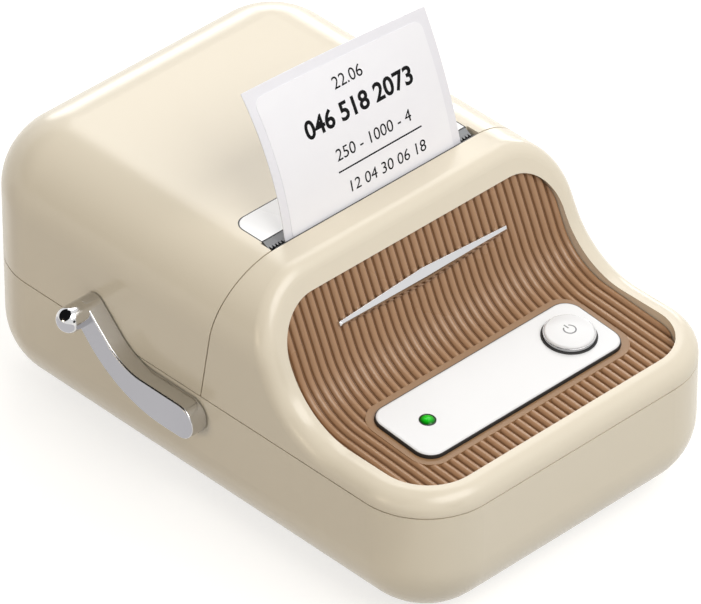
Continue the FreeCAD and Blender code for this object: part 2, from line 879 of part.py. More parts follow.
def control_plate():
    x = size("plate_length") / 2
    y = size("plate_depth") / 2
    high = size("plate_proud")
    body = prism("plate_block", "XY", rectangle((-x, x), (-y, y), size("plate_corner")),
                 -size("plate_sink"), size("plate_sink") + high)
    round_edges(body, "plate_edge", high / 2, at_height(high))
    deep = -2 * size("plate_sink")
    well = rod("button_well", size("button_radius") + size("button_play"), 2 * high - deep, "z",
               size("button_offset"), 0, deep)
    light = rod("lens_well", size("lens_radius") + size("lens_play"), 2 * high - deep, "z",
                -size("button_offset"), 0, deep)
    return node("control_plate", on_deck(cut("plate_form", body, well, light)))


def domed_rod(label, radius, low, high, dome, x):
    """An upright rod about the plate's middle line, with a shallow dome on top."""
    ball = doc.addObject("Part::Sphere", label + "_ball")
    bow = (radius * radius + dome * dome) / (2 * dome)
    bind(ball, "Radius", bow)
    place(ball, x, 0, high + dome - bow)
    block = rod(label + "_block", radius, high + dome - low, "z", x, 0, low)
    return common(label, block, ball)


def power_button():
    """Domed cap with its stem, and a bright ring around it."""
    low = -size("plate_sink") + size("button_travel") + play
    high = size("plate_proud") + size("button_rise")
    inner_radius = size("button_radius") - size("button_ring")
    x = size("button_offset")
    cap = domed_rod("button_cap_form", inner_radius, low, high, size("button_dome"), x)
    rest = board_top + size("switch_height") + size("plunger_height") + size("button_travel")
    stem_low = (rest + size("paper_play") - plate_z) / cosine(size("deck_slope"))
    stem = rod("button_stem_form", size("button_stem"), low - stem_low, "z", x, 0, stem_low)
    node("power_button", on_deck(fuse("button_form", cap, stem)))
    skin = rod("button_ring_skin", size("button_radius"), high - low, "z", x, 0, low)
    bore = rod("button_ring_bore", inner_radius, high - low, "z", x, 0, low)
    node("button_ring", on_deck(cut("button_ring_form", skin, bore)))


def status_lens():
    low = (board_top + size("led_height") + size("paper_play") - plate_z) / cosine(size("deck_slope"))
    lens = domed_rod("lens_form", size("lens_radius"), low, size("plate_proud"), size("lens_radius") / 3,
                     -size("button_offset"))
    return node("status_lens", on_deck(lens))


rise_z = case_bottom + size("trim_level")
rise_y = steep_y + (rise_z - steep_z) * steep_run


def on_rise(item):
    """Set a piece made flat onto the steep part of the fluted surface."""
    return place(item, 0, rise_y, rise_z, 90 - size("reed_lean"))


def trim_pins(label, radius):
    step = size("trim_length") / 4
    return [rod("%s_%d" % (label, side + 1), radius, panel_thick, "z", side * step, 0, -panel_thick)
            for side in (-1, 1)]


def trim_bar():
    """Plain bright spear on the steep part of the fluted panel."""
    x = size("trim_length") / 2
    y = size("trim_height") / 2
    tip = size("trim_tip") / 2
    corners = [(-x, -tip, tip / 2), (0, -y, 0), (x, -tip, tip / 2),
               (x, tip, tip / 2), (0, y, 0), (-x, tip, tip / 2)]
    bar = prism("trim_block", "XY", corners, dim(0), size("trim_thick"))
    round_edges(bar, "trim_edge", tip / 2, at_height(size("trim_thick")))
    pins = trim_pins("trim_pin_form", size("trim_pin"))
    return node("trim_bar", on_rise(fuse("trim_form", bar, *pins)))


def rear_lid():
    """Upper rear shell with hinge knuckle, platen ears, strike bosses and the tear plate's seat."""
    above = case_top + size("wall")
    behind = half_length + size("wall")
    rear = yz_prism("lid_region", [(parting(seam_high, gap), seam_high, 0), (behind, seam_high, 0),
                                   (behind, above, 0), (parting(above, gap), above, 0)])
    parts = [common("lid_shell", shell, rear)]
    ear = ear_radius
    for side in (-1, 1):
        near = side * size("ear_place")
        far = near + side * size("ear_thick")
        start = near if side > 0 else far
        corners = [(platen_y - ear, platen_z, 0), (platen_y + ear, platen_z - ear, ear / 2),
                   (platen_y + 3 * ear, case_top, 0), (platen_y + ear, case_top, 0)]
        block = prism("ear_%d" % (side + 1), "YZ", corners, start, size("ear_thick"))
        eye = rod("ear_eye_%d" % (side + 1), ear, size("ear_thick"), "x", start, platen_y, platen_z)
        both = fuse("ear_block_%d" % (side + 1), block, eye)
        parts.append(common("ear_form_%d" % (side + 1), both, outer))
    parts.append(rod("lid_knuckle_form", size("knuckle_radius"), size("lid_knuckle"), "x",
                     -lid_knuckle_half, hinge_y, hinge_z))
    strike_y, strike_z = strike_spot()
    boss = 2 * size("strike_radius")
    parts += mirrored_rods("strike_boss", boss, size("boss_reach"), inside - size("boss_reach") + gap,
                           strike_y, strike_z)
    tools = list(mirrored_rods("base_knuckle_room", relief_radius, size("base_knuckle") + size("seam_gap") + gap,
                               lid_knuckle_half + gap, hinge_y, hinge_z))
    tools.append(rod("lid_pin_bore", size("hinge_pin_radius") + play, wide, "x", -wide / 2, hinge_y, hinge_z))
    # the bosses keep clear of the base's tongue
    lip_room = size("lip_thick") + 2 * size("lip_play")
    lip_top = seam + size("lip_height") + size("lip_play")
    for side, x in ((-1, (-inside, lip_room - inside)), (1, (inside - lip_room, inside))):
        tools.append(box("strike_lip_room_%d" % (side + 1), x, (strike_y - boss, strike_y + boss),
                         (seam, lip_top)))
    tools += mirrored_rods("strike_bore", size("strike_radius") + play, size("strike_reach"),
                           inside - size("strike_reach") + gap, strike_y, strike_z)
    bore_half = size("ear_place") + size("ear_thick")
    tools.append(rod("bush_bore", size("platen_shaft") + size("bush_wall") + play, 2 * bore_half, "x",
                     -bore_half, platen_y, platen_z))
    tear_y = -size("tear_front")
    tools.append(box("slot_room", (-size("slot_half"), size("slot_half")), (-half_length, tear_y),
                     (seam_high, above)))
    x = size("tear_length") / 2 + size("tear_play")
    back = tear_y + size("tear_depth") + size("tear_play")
    corner = size("tear_corner") + size("tear_play")
    tools.append(prism("tear_seat", "XY", [(-x, tear_y - gap, 0), (x, tear_y - gap, 0), (x, back, corner),
                                           (-x, back, corner)],
                       case_top - size("tear_thick"), above - case_top + size("tear_thick")))
    tail = tear_y + size("blade_tail") + play
    low = case_top - size("tear_thick") - size("blade_thick")
    tools.append(box("blade_seat", (-x, x), (tear_y - gap, tail), (low, case_top)))
    return node("rear_lid", cut("lid_form", fuse("lid_block", *parts), *tools))


def strike_spot():
    return size("strike_front"), case_bottom + size("strike_level")


def strike_pins():
    strike_y, strike_z = strike_spot()
    length = size("strike_reach") - size("seam_gap")
    left, right = mirrored_rods("strike", size("strike_radius"), length,
                                inside - size("strike_reach"), strike_y, strike_z)
    node("strike_pin_left", left)
    node("strike_pin_right", right)


def tear_plate():
    x = size("tear_length") / 2
    front = -size("tear_front")
    back = front + size("tear_depth")
    corner = size("tear_corner")
    plate = prism("tear_form", "XY", [(-x, front, 0), (x, front, 0), (x, back, corner), (-x, back, corner)],
                  case_top - size("tear_thick"), size("tear_thick"))
    return node("tear_plate", plate)


def tear_blade():
    """Bent strip with a toothed front edge that tears the label off."""
    half = size("tear_length") / 2
    front = -size("tear_front") - gap / 2
    tip = front - size("blade_reach")
    under = case_top - size("tear_thick")
    low = under - size("blade_thick")
    tail = -size("tear_front") + size("blade_tail")
    edge = case_top - size("blade_drop")
    corners = [(tip, edge, 0), (front, case_top - play, 0), (front, under, 0), (tail, under, 0),
               (tail, low, 0), (front, low, 0), (tip, edge - size("blade_thick") / 2, 0)]
    body = yz_prism("blade_form", corners, half)
    sketch = body.newObject("Sketcher::SketchObject", "tooth_outline")
    face = [item for item in body.Origin.OriginFeatures if item.Role == "XY_Plane"][0]
    sketch.AttachmentSupport = [(face, "")]
    sketch.MapMode = "FlatFace"
    sketch.AttachmentOffset = FreeCAD.Placement(Vector(0, 0, float(case_top)), FreeCAD.Rotation())
    bind(sketch, "AttachmentOffset.Base.z", case_top)
    pitch = size("tooth_pitch")
    draw(sketch, [(-half, tip - gap, 0), (-half + pitch, tip - gap, 0),
                  (-half + pitch / 2, tip + size("tooth_depth"), 0)])
    notch = body.newObject("PartDesign::Pocket", "tooth_notch")
    notch.Profile = sketch
    notch.Type = "ThroughAll"
    body.Tip = notch
    doc.recompute()
    teeth = body.newObject("PartDesign::LinearPattern", "tooth_row")
    teeth.Originals = [notch]
    teeth.Direction = (sketch, ["H_Axis"])
    count = int(float(size("tear_length") / pitch))
    teeth.Length = float(pitch) * (count - 1)
    teeth.Occurrences = count
    body.Tip = teeth
    return node("tear_blade", body)


def hinge_pin():
    half = base_knuckle_from + size("base_knuckle")
    return node("hinge_pin", rod("hinge_pin_form", size("hinge_pin_radius"), 2 * half, "x", -half, hinge_y, hinge_z))


def gear_wire(teeth, turn):
    """Outline of an involute gear in the side view, with a tooth at an angle from +Y."""
    module = float(size("gear_module"))
    pressure = math.radians(float(size("pressure_angle")))
    pitch_radius = module * teeth / 2
    base_radius = pitch_radius * math.cos(pressure)
    tip_radius = pitch_radius + 0.8 * module
    root_radius = pitch_radius - 1.1 * module
    half = math.pi / 2 / teeth - float(size("gear_play")) / 2 / pitch_radius

    def flank(radius):
        """Half angle of a tooth at one radius."""
        at_pitch = math.tan(pressure) - pressure
        if radius <= base_radius:
            return half + at_pitch
        angle = math.acos(base_radius / radius)
        return half + at_pitch - (math.tan(angle) - angle)

    def spot(radius, angle):
        return Vector(0, radius * math.cos(angle), radius * math.sin(angle))

    start_radius = max(root_radius, base_radius)
    middle_radius = (start_radius + tip_radius) / 2
    edges = []
    for i in range(teeth):
        middle = math.radians(turn) + 2 * math.pi * i / teeth
        rise = [spot(radius, middle - flank(radius)) for radius in (start_radius, middle_radius, tip_radius)]
        fall = [spot(radius, middle + flank(radius)) for radius in (tip_radius, middle_radius, start_radius)]
        foot_in = spot(root_radius, middle - flank(start_radius))
        foot_out = spot(root_radius, middle + flank(start_radius))
        after = middle + 2 * math.pi / teeth - flank(start_radius)
        valley = (middle + flank(start_radius) + after) / 2
        if start_radius > root_radius:
            edges.append(Part.makeLine(foot_in, rise[0]))
        edges.append(Part.Arc(*rise).toShape())
        edges.append(Part.Arc(rise[2], spot(tip_radius, middle), fall[0]).toShape())
        edges.append(Part.Arc(*fall).toShape())
        if start_radius > root_radius:
            edges.append(Part.makeLine(fall[2], foot_out))
        edges.append(Part.Arc(foot_out, spot(root_radius, valley), spot(root_radius, after)).toShape())
    return Part.Wire(Part.__sortEdges__(edges))


def gear(label, alias, turn, y, z):
    """A gear blank with teeth, standing at the gear plane."""
    item = doc.addObject("Part::Feature", label)
    face = Part.Face(gear_wire(int(float(size(alias))), turn))
    item.Shape = face.extrude(Vector(float(size("gear_width")), 0, 0))
    return place(item, size("gear_place"), y, z)


def mesh_turn(teeth_in, turn_in, teeth_out, way):
    """Turn of a gear so that it meshes with the gear it meets along a direction."""
    pitch_in = 360 / teeth_in
    lead = (way - turn_in) % pitch_in
    return way + 180 + lead * teeth_in / teeth_out + 180 / teeth_out


def gear_train():
    """Platen gear, idler and motor pinion, in mesh."""
    counts = [int(float(size(alias))) for alias in ("platen_teeth", "idler_teeth", "pinion_teeth")]
    way_down = math.degrees(math.atan2(float(idler_z - platen_z), float(idler_y - platen_y)))
    platen_turn = way_down
    idler_turn = mesh_turn(counts[0], platen_turn, counts[1], way_down)
    pinion_turn = mesh_turn(counts[1], idler_turn, counts[2], -90)
    x = size("gear_place")
    width = size("gear_width")
    wheel = gear("platen_wheel", "platen_teeth", platen_turn, platen_y, platen_z)
    bore = rod("platen_gear_bore", size("platen_shaft"), width, "x", x, platen_y, platen_z)
    node("platen_gear", cut("platen_gear_form", wheel, bore))
    wheel = gear("idler_wheel", "idler_teeth", idler_turn, idler_y, idler_z)
    bore = rod("idler_bore", size("idler_post") + play, width, "x", x, idler_y, idler_z)
    node("idler_gear", cut("idler_form", wheel, bore))
    wheel = gear("pinion_wheel", "pinion_teeth", pinion_turn, motor_y, motor_z)
    start = size("cheek_place") - size("gear_width")
    shaft = rod("pinion_shaft", size("motor_shaft"), x + width - start, "x", start, motor_y, motor_z)
    node("motor_pinion", fuse("pinion_form", wheel, shaft))


def platen():
    """Rubber feed roller on a steel shaft that turns in two bushes in the lid."""
    end = size("ear_place") + size("ear_thick") + size("seam_gap")
    node("platen_shaft", rod("platen_shaft_form", size("platen_shaft"), 2 * end, "x", -end, platen_y, platen_z))
    half = size("platen_length") / 2
    node("platen_sleeve", tube("platen_sleeve", size("platen_shaft"), size("platen_radius"), 2 * half, -half,
                               platen_y, platen_z))
    inner_radius = size("platen_shaft") + play
    outer_radius = size("platen_shaft") + size("bush_wall")
    near = size("ear_place")
    far = near + size("ear_thick")
    node("platen_bush_left", tube("bush_left", inner_radius, outer_radius, far - near, -far, platen_y, platen_z))
    node("platen_bush_right", tube("bush_right", inner_radius, outer_radius, far - near, near, platen_y, platen_z))


def nip_spot(out, up):
    """A point beside the nip, measured out from the hinge and up along the paper."""
    reach = paper_sweep + out
    return hinge_y - reach * nip_run + up * nip_drop, hinge_z + reach * nip_drop + up * nip_run


def print_head():
    """Thermal head bar that faces the platen across the paper."""
    face = size("paper_thick") + 2 * play
    deep = face + size("head_thick")
    corners = [nip_spot(face, -size("head_below")) + (0,), nip_spot(face, size("head_above")) + (0,),
               nip_spot(deep, size("head_above")) + (0,), nip_spot(deep, -size("head_below")) + (0,)]
    bar = yz_prism("head_bar", corners, size("head_length") / 2)
    y, z = head_pivot()
    end = size("cheek_place") + size("cheek_thick")
    pin = rod("head_pin_form", size("head_pin"), 2 * end, "x", -end, y, z)
    return node("print_head", fuse("head_form", bar, pin))


def head_pivot():
    face = size("paper_thick") + 2 * play
    return nip_spot(face + size("head_thick") / 2, -size("head_below") + size("head_thick"))


def mech_frame():
    """Folded frame that carries head, motor and idler, and stands on four posts."""
    front = -size("frame_front")
    back = size("frame_back")
    shoulder = platen_z - size("platen_shaft") - 2 * size("seam_gap")
    horn = platen_y - size("platen_shaft") - size("bush_wall")
    top = platen_z + size("cheek_thick")
    lean_y = horn - size("head_thick") * 2
    near = size("cheek_place")
    thick = size("cheek_thick")
    corners = [(front, frame_low, 0), (back, frame_low, 0), (back, lever_z + 2 * size("boss_radius"), 0),
               (platen_y + 2 * size("platen_shaft"), shoulder, 0), (horn, shoulder, 0), (horn, top, 0),
               (lean_y, top, 0), (front, idler_z + size("boss_radius"), 0)]
    parts = [prism("cheek_right", "YZ", corners, near, thick),
             prism("cheek_left", "YZ", corners, -near - thick, thick)]
    parts.append(box("frame_pan", (-near - thick, near + thick), (front, back), (frame_low, frame_low + thick)))
    for i, (name, side, y) in enumerate(screw_spots()):
        parts.append(rod("frame_post_%d" % i, size("post_radius"), frame_low - case_floor, "z",
                         side * size("post_x"), y, case_floor))
    parts.append(rod("idler_post_form", size("idler_post"),
                     size("gear_place") + size("gear_width") + play - near, "x", near, idler_y, idler_z))
    tools = [rod("shaft_room", 2 * size("lever_shaft"), wide, "x", -wide / 2, lever_y, lever_z)]
    tools.append(rod("motor_shaft_room", 2 * size("motor_shaft"), 2 * thick, "x", near - thick / 2,
                     motor_y, motor_z))
    y, z = head_pivot()
    tools.append(rod("head_pin_bore", size("head_pin") + play, wide, "x", -wide / 2, y, z))
    for name, side, y in screw_spots():
        tools.append(rod(name + "_thread", size("screw_radius") + play, size("screw_length"), "z",
                         side * size("post_x"), y, case_bottom + 2 * play))
    return node("mech_frame", cut("frame_form", fuse("frame_block", *parts), *tools))


def drive_motor():
    near = size("cheek_place")
    start = near - size("motor_length")
    can = rod("motor_can", size("motor_radius"), size("motor_length"), "x", start, motor_y, motor_z)
    bore = rod("motor_bore", size("motor_shaft") + play, size("gear_width") + play, "x",
               near - size("gear_width") - play, motor_y, motor_z)
    return node("drive_motor", cut("motor_form", can, bore))


def lever():
    """Bright side lever with its knob, cross shaft and two latch hooks."""
    half = size("lever_half")
    outer_x = -lever_face - size("lever_thick")
    knob_y = lever_y + size("lever_reach")
    knob_z = lever_z + size("lever_rise")
    radius = size("knob_radius")
    # the arm's free end is a round pad about the knob, along the arm's last stretch
    run = size("lever_reach") - size("lever_waist")
    rise = size("lever_rise")
    length = root(run * run + rise * rise)
    along_y, along_z = run / length, rise / length
    tip_y, tip_z = knob_y + radius * along_y, knob_z + radius * along_z
    bend_low = (lever_y + size("lever_heel"), lever_z - half, size("lever_outer_bend"))
    bend_high = (lever_y + size("lever_waist"), lever_z + half, size("lever_inner_bend"))
    corners = [(lever_y - half, lever_z - half, half * 0.99), bend_low,
               (tip_y + radius * along_z, tip_z - radius * along_y, radius * 0.95),
               (tip_y - radius * along_z, tip_z + radius * along_y, radius * 0.95),
               bend_high, (lever_y - half, lever_z + half, half * 0.99)]
    arm = prism("lever_block", "YZ", corners, outer_x, size("lever_thick"))
    sink = size("lever_thick") * 2 / 3
    bore = rod("arm_bore", size("lever_shaft"), sink, "x", -lever_face - sink, lever_y, lever_z)
    node("lever_arm", cut("lever_arm_form", arm, bore))
    straight = size("knob_length") - radius
    bar = rod("knob_bar", radius, straight, "x", outer_x - straight, knob_y, knob_z)
    ball = doc.addObject("Part::Sphere", "knob_ball")
    bind(ball, "Radius", radius)
    place(ball, outer_x - straight, knob_y, knob_z)
    node("lever_knob", fuse("knob_form", bar, ball))
    shaft_end = inside - size("seam_gap")
    node("lever_shaft", rod("lever_shaft_form", size("lever_shaft"), shaft_end + lever_face + sink, "x",
                            -lever_face - sink, lever_y, lever_z))
    strike_y, strike_z = strike_spot()
    inner_y = strike_y + size("strike_radius") + 1.5 * size("hook_play")
    outer_y = inner_y + size("hook_nose")
    nose_z = strike_z + size("strike_radius") + size("hook_play")
    tip = strike_y - size("hook_play")
    corners = [(inner_y, lever_z, 0), (outer_y, lever_z, 0), (outer_y, nose_z + size("hook_nose"), 0),
               (tip, nose_z + size("hook_nose"), 0), (tip, nose_z, 0), (inner_y, nose_z, 0)]
    thick = size("hook_thick")
    for name, x in (("left", -size("hook_place") - thick), ("right", size("hook_place"))):
        finger = prism("finger_" + name, "YZ", corners, x, thick)
        hub = rod("hook_hub_" + name, size("hook_hub"), thick, "x", x, lever_y, lever_z)
        hole = rod("hook_hole_" + name, size("lever_shaft"), thick, "x", x, lever_y, lever_z)
        node("latch_hook_" + name, cut("hook_form_" + name, fuse("hook_block_" + name, finger, hub), hole))


def label_roll():
    half = size("label_width") / 2
    core = size("core_radius")
    node("label_roll", tube("roll", core, size("roll_radius"), 2 * half, -half, roll_y, roll_z))
    node("roll_core", tube("core", core - size("core_wall"), core, 2 * half, -half, roll_y, roll_z))


def paper_edges(offset):
    """Side view of the paper, from the roll round the platen and out of the slot."""
    hinge = Vector(0, float(hinge_y), float(hinge_z))
    roller = Vector(0, float(platen_y), float(platen_z))
    reel = Vector(0, float(roll_y), float(roll_z))
    clear = float(size("paper_play")) + offset
    roller_radius = float(size("platen_radius")) + clear
    reel_radius = float(size("roll_radius")) + clear
    # the free run touches roll and platen on the same side, so it is their outer tangent
    step = roller - reel
    heading = math.atan2(step.z, step.y)
    wrap = heading + math.acos((reel_radius - roller_radius) / step.Length)

    def polar(centre, radius, angle):
        return centre + Vector(0, radius * math.cos(angle), radius * math.sin(angle))

    nip_angle = math.atan2(float(nip_drop), -float(nip_run))
    out_angle = math.atan2(float(case_top - hinge_z), -float(hinge_y + size("slot_middle")))
    sweep = float(paper_sweep) + offset
    off_reel = polar(reel, reel_radius, wrap)
    on_roller = polar(roller, roller_radius, wrap)
    turn_middle = polar(roller, roller_radius, (wrap + nip_angle) / 2)
    nip = polar(hinge, sweep, nip_angle)
    rise_middle = polar(hinge, sweep, (nip_angle + out_angle) / 2)
    out = polar(hinge, sweep, out_angle)
    edges = [Part.makeLine(off_reel, on_roller), Part.Arc(on_roller, turn_middle, nip).toShape(),
             Part.Arc(nip, rise_middle, out).toShape()]
    return edges, off_reel, out, out_angle


def paper():
    """Liner from the roll to its torn end, and the die-cut label on its face."""
    thick = float(size("paper_thick"))
    near, near_start, near_end, angle = paper_edges(0.0)
    far, far_start, far_end, _ = paper_edges(thick)
    loop = near + far + [Part.makeLine(near_start, far_start), Part.makeLine(near_end, far_end)]
    half = float(size("label_width")) / 2
    face = Part.Face(Part.Wire(Part.__sortEdges__(loop)))
    face.translate(Vector(-half, 0, 0))
    web = doc.addObject("Part::Feature", "paper_web")
    web.Shape = face.extrude(Vector(2 * half, 0, 0))
    # the free end is flat: its own plane has X across and Y up along the paper
    half = size("label_width") / 2
    out = size("label_out")
    slant = size("label_slant")
    tongue = prism("paper_tongue", "XY",
                   [(-half, 0, 0), (half, 0, 0), (half, out - slant, 0), (-half, out, 0)],
                   dim(0), size("paper_thick"))
    lean = math.degrees(math.pi - angle)
    up = FreeCAD.Placement(near_end, FreeCAD.Rotation(Vector(1, 0, 0), 90 - lean))
    tongue.Placement = up
    node("label_liner", fuse("liner_form", web, tongue))
    margin = size("label_margin")
    corner = size("label_corner")
    edge = half - margin
    low = margin
    tilt = slant / size("label_width") * margin
    face = prism("label_face_form", "XY",
                 [(-edge, low, corner), (edge, low, corner), (edge, out - slant - margin + tilt, corner),
                  (-edge, out - margin - tilt, corner)], size("paper_thick"), size("label_face_thick"))
    face.Placement = up
    node("label_face", face)


def roll_guides():
    """Two sliding cheeks that hold the roll by its core, and the rods that they run on."""
    for name, y in (("front", rod_rows[0]), ("back", rod_rows[1])):
        node("guide_rod_" + name, rod("guide_rod_form_" + name, size("rod_radius"), size("rod_length"), "x",
                                      -rod_half, y, rod_z))
    near = size("label_width") / 2 + size("guide_play")
    thick = size("guide_thick")
    margin = 2 * size("rod_radius")
    hub_radius = size("core_radius") - size("core_wall") - play
    for name, side in (("left", -1), ("right", 1)):
        def span(start, end):
            return (start, end) if side > 0 else (-end, -start)

        plate = span(near, near + thick)
        hub = span(near - size("hub_length"), near)
        runner = span(near, near + size("guide_runner"))
        y = (rod_rows[0] - margin, rod_rows[1] + margin)
        low = rod_z - size("rod_radius") - size("guide_thick") / 2
        parts = [rod("guide_disc_" + name, size("guide_radius"), thick, "x", plate[0], roll_y, roll_z),
                 rod("guide_hub_" + name, hub_radius, size("hub_length"), "x", hub[0], roll_y, roll_z),
                 box("guide_leg_" + name, plate, y, (low, roll_z - size("guide_radius") / 2)),
                 box("guide_runner_" + name, runner, y, (low, rod_z + margin))]
        tools = [rod("guide_bore_%s_%d" % (name, row), size("rod_radius") + play, size("guide_runner"), "x",
                     runner[0], place_y, rod_z) for row, place_y in enumerate(rod_rows)]
        node("guide_" + name, cut("guide_form_" + name, fuse("guide_block_" + name, *parts), *tools))


def main_board():
    half = size("board_half")
    front = -size("board_front")
    back = -size("board_back")
    tab = inside - size("lip_play") - size("lip_thick") - size("panel_play") * 2
    tab_front = socket_y - size("socket_width") / 2 - 2 * size("board_thick")
    tab_back = socket_y + size("socket_width") / 2 + 2 * size("board_thick")
    corners = [(-half, front, 0), (half, front, 0), (half, tab_front, 0), (tab, tab_front, 0),
               (tab, tab_back, 0), (half, tab_back, 0), (half, back, 0), (-half, back, 0)]
    return node("main_board", prism("board_form", "XY", corners, board_low, size("board_thick")))


def on_board(x, side):
    """Footprint of a square piece on the board, under a place on the plate."""
    drop = (plate_z - board_top) * sine(size("deck_slope"))
    y = plate_y + drop
    return (x - side / 2, x + side / 2), (y - side / 2, y + side / 2), y


def button_switch():
    x, y, middle = on_board(size("button_offset"), size("switch_size"))
    top = board_top + size("switch_height")
    body = box("switch_body", x, y, (board_top, top))
    plunger = rod("switch_plunger", size("plunger_radius"), size("plunger_height"), "z",
                  size("button_offset"), middle, top)
    return node("button_switch", fuse("switch_form", body, plunger))


def status_led():
    x, y, _ = on_board(-size("button_offset"), size("led_size"))
    return node("status_led", box("led_form", x, y, (board_top, board_top + size("led_height"))))


def usb_socket():
    """Charging inlet in the right wall: a shell with a tongue inside."""
    half = size("socket_width") / 2
    shell_thick = size("socket_shell")
    low = board_low - size("socket_height")
    start = socket_end - size("socket_depth")
    skin = box("socket_skin", (start, socket_end), (socket_y - half, socket_y + half), (low, board_low))
    room = box("socket_room", (start + 4 * shell_thick, socket_end + shell_thick),
               (socket_y - half + shell_thick, socket_y + half - shell_thick),
               (low + shell_thick, board_low - shell_thick))
    middle = (low + board_low) / 2
    tongue = box("socket_tongue", (start + shell_thick, socket_end - 4 * shell_thick),
                 (socket_y - half + 4 * shell_thick, socket_y + half - 4 * shell_thick),
                 (middle - shell_thick, middle + shell_thick))
    return node("usb_socket", fuse("socket_form", cut("socket_shell_form", skin, room), tongue))


def battery_pack():
    half = size("battery_length") / 2
    back = -size("battery_back")
    return node("battery_pack", box("battery_form", (-half, half), (back - size("battery_depth"), back),
                                    (case_floor, case_floor + size("battery_height"))))


foot_ring()
lower_case()
case_screws()
front_cover()
grille_panel()
control_plate()
power_button()
status_lens()
trim_bar()
rear_lid()
strike_pins()
tear_plate()
tear_blade()
hinge_pin()
gear_train()
platen()
print_head()
mech_frame()
drive_motor()
lever()
label_roll()
paper()
roll_guides()
main_board()
button_switch()
status_led()
usb_socket()
battery_pack()
doc.recompute()

failed = [item.Name for item in doc.Objects if "Invalid" in item.State or "Error" in item.State]
for item in nodes:
    if item.Shape.isNull() or not item.Shape.isValid() or len(item.Shape.Solids) != 1:
        failed.append(item.Label)
if failed:
    raise RuntimeError("failed: " + ", ".join(failed))
os.makedirs("parts", exist_ok=True)
for item in nodes:
    item.Shape.exportStep(os.path.join("parts", item.Label + ".step"))
print("wrote %d sub-parts" % len(nodes))
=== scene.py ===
import json
import math

import bmesh
import bpy
from mathutils import Matrix, Vector


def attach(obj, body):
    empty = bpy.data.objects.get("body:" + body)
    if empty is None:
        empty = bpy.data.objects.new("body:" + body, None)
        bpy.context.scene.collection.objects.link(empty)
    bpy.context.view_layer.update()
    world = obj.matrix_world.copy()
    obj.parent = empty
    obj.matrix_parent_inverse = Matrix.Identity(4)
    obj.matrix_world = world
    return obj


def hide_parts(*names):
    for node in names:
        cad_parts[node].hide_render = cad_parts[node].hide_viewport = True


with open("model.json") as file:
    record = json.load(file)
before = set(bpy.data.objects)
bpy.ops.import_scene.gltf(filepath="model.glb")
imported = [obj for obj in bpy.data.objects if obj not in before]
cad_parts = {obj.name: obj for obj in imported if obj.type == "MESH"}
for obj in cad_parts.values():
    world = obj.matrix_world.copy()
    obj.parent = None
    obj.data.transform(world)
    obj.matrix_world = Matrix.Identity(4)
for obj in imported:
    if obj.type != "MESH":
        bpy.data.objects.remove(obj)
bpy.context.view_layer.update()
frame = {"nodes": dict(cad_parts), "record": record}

nodes = frame["nodes"]
scene = bpy.context.scene
scene.view_settings.view_transform = "Standard"
mm = 0.001
mergeWithin = 1e-6              # vertices nearer than this become one
cutWithin = 1e-7
flatWithin = math.radians(0.5)
print("frame loaded with", len(nodes), "nodes")


# helpers for shader nodes and new objects

def rangeIn(tree, value, fromLow, fromHigh, low, high, soft=False):
    node = tree.nodes.new("ShaderNodeMapRange")
    node.interpolation_type = "SMOOTHSTEP" if soft else "LINEAR"
    node.inputs["From Min"].default_value = fromLow
    node.inputs["From Max"].default_value = fromHigh
    node.inputs["To Min"].default_value = low
    node.inputs["To Max"].default_value = high
    tree.links.new(value, node.inputs["Value"])
    return node.outputs["Result"]


def mathIn(tree, operation, first, second):
    node = tree.nodes.new("ShaderNodeMath")
    node.operation = operation
    for socket, value in zip(node.inputs, (first, second)):
        if isinstance(value, (int, float)):
            socket.default_value = value
        else:
            tree.links.new(value, socket)
    return node.outputs[0]


def addObject(mesh, name, mat):
    data = bpy.data.meshes.new(name)
    mesh.to_mesh(data)
    mesh.free()
    data.materials.append(mat)
    added = bpy.data.objects.new(name, data)
    scene.collection.objects.link(added)
    return added


# camera, floor and lamps

studio = {
    "cameraPlace": (-0.8559, -0.8927, 0.9608),
    "azimuth": 43.827,
    "elevation": 36.987,
    "lens": 396.8,
    "sensor": 36,
    "clip": (0.05, 20),
    "floorHalf": 4.0,
    "floorColour": (0.45, 0.435, 0.40, 1),
    "floorRough": 0.9,
    "floorLift": 0.71,          # white that only the camera and mirrors see
    "skyLight": 0.40,
    "skySeen": 1.0,
    # place, aim, width, height, power, colour
    "lamps": {
        "frontSoftbox": ((0.05, -0.75, 0.98), (0.0, 0.0, 0.04), 1.00, 0.70, 9.0, (1.0, 0.99, 0.975)),
        "keySoftbox": ((0.52, 0.42, 0.80), (0.0, 0.0, 0.03), 0.60, 0.60, 2.6, (1.0, 0.99, 0.97)),
        "rimSoftbox": ((0.80, 0.83, 0.26), (0.0, 0.0, 0.05), 0.95, 0.34, 3.9, (1.0, 1.0, 1.0)),
        "leftStrip": ((-1.10, 0.20, 0.30), (0.0, 0.0, 0.03), 0.35, 0.35, 1.9, (1.0, 0.84, 0.62)),
    },
    # place, aim, radius and grey of discs that only mirrors see
    "cards": {
        "leftCard": ((-0.475, 0.29, 0.66), (-0.045, 0.02, 0.04), 1.00, 0.01),
        "frontCard": ((-0.10, -0.80, 0.16), (0.0, -0.02, 0.05), 0.16, 0.01),
        "floorCard": ((-0.345, 0.045, 0.0006), (-0.345, 0.045, 1.0), 0.30, 0.68),
    },
    "cardTint": (1.0, 0.985, 1.02),
    "cardSides": 48,
}


def makeCamera():
    data = bpy.data.cameras.new("photoCamera")
    data.sensor_width = studio["sensor"]
    data.sensor_fit = "HORIZONTAL"
    data.lens = studio["lens"]
    data.clip_start, data.clip_end = studio["clip"]
    camera = bpy.data.objects.new("photoCamera", data)
    camera.location = studio["cameraPlace"]
    camera.rotation_euler = (math.radians(90 - studio["elevation"]), 0, -math.radians(studio["azimuth"]))
    scene.collection.objects.link(camera)
    scene.camera = camera


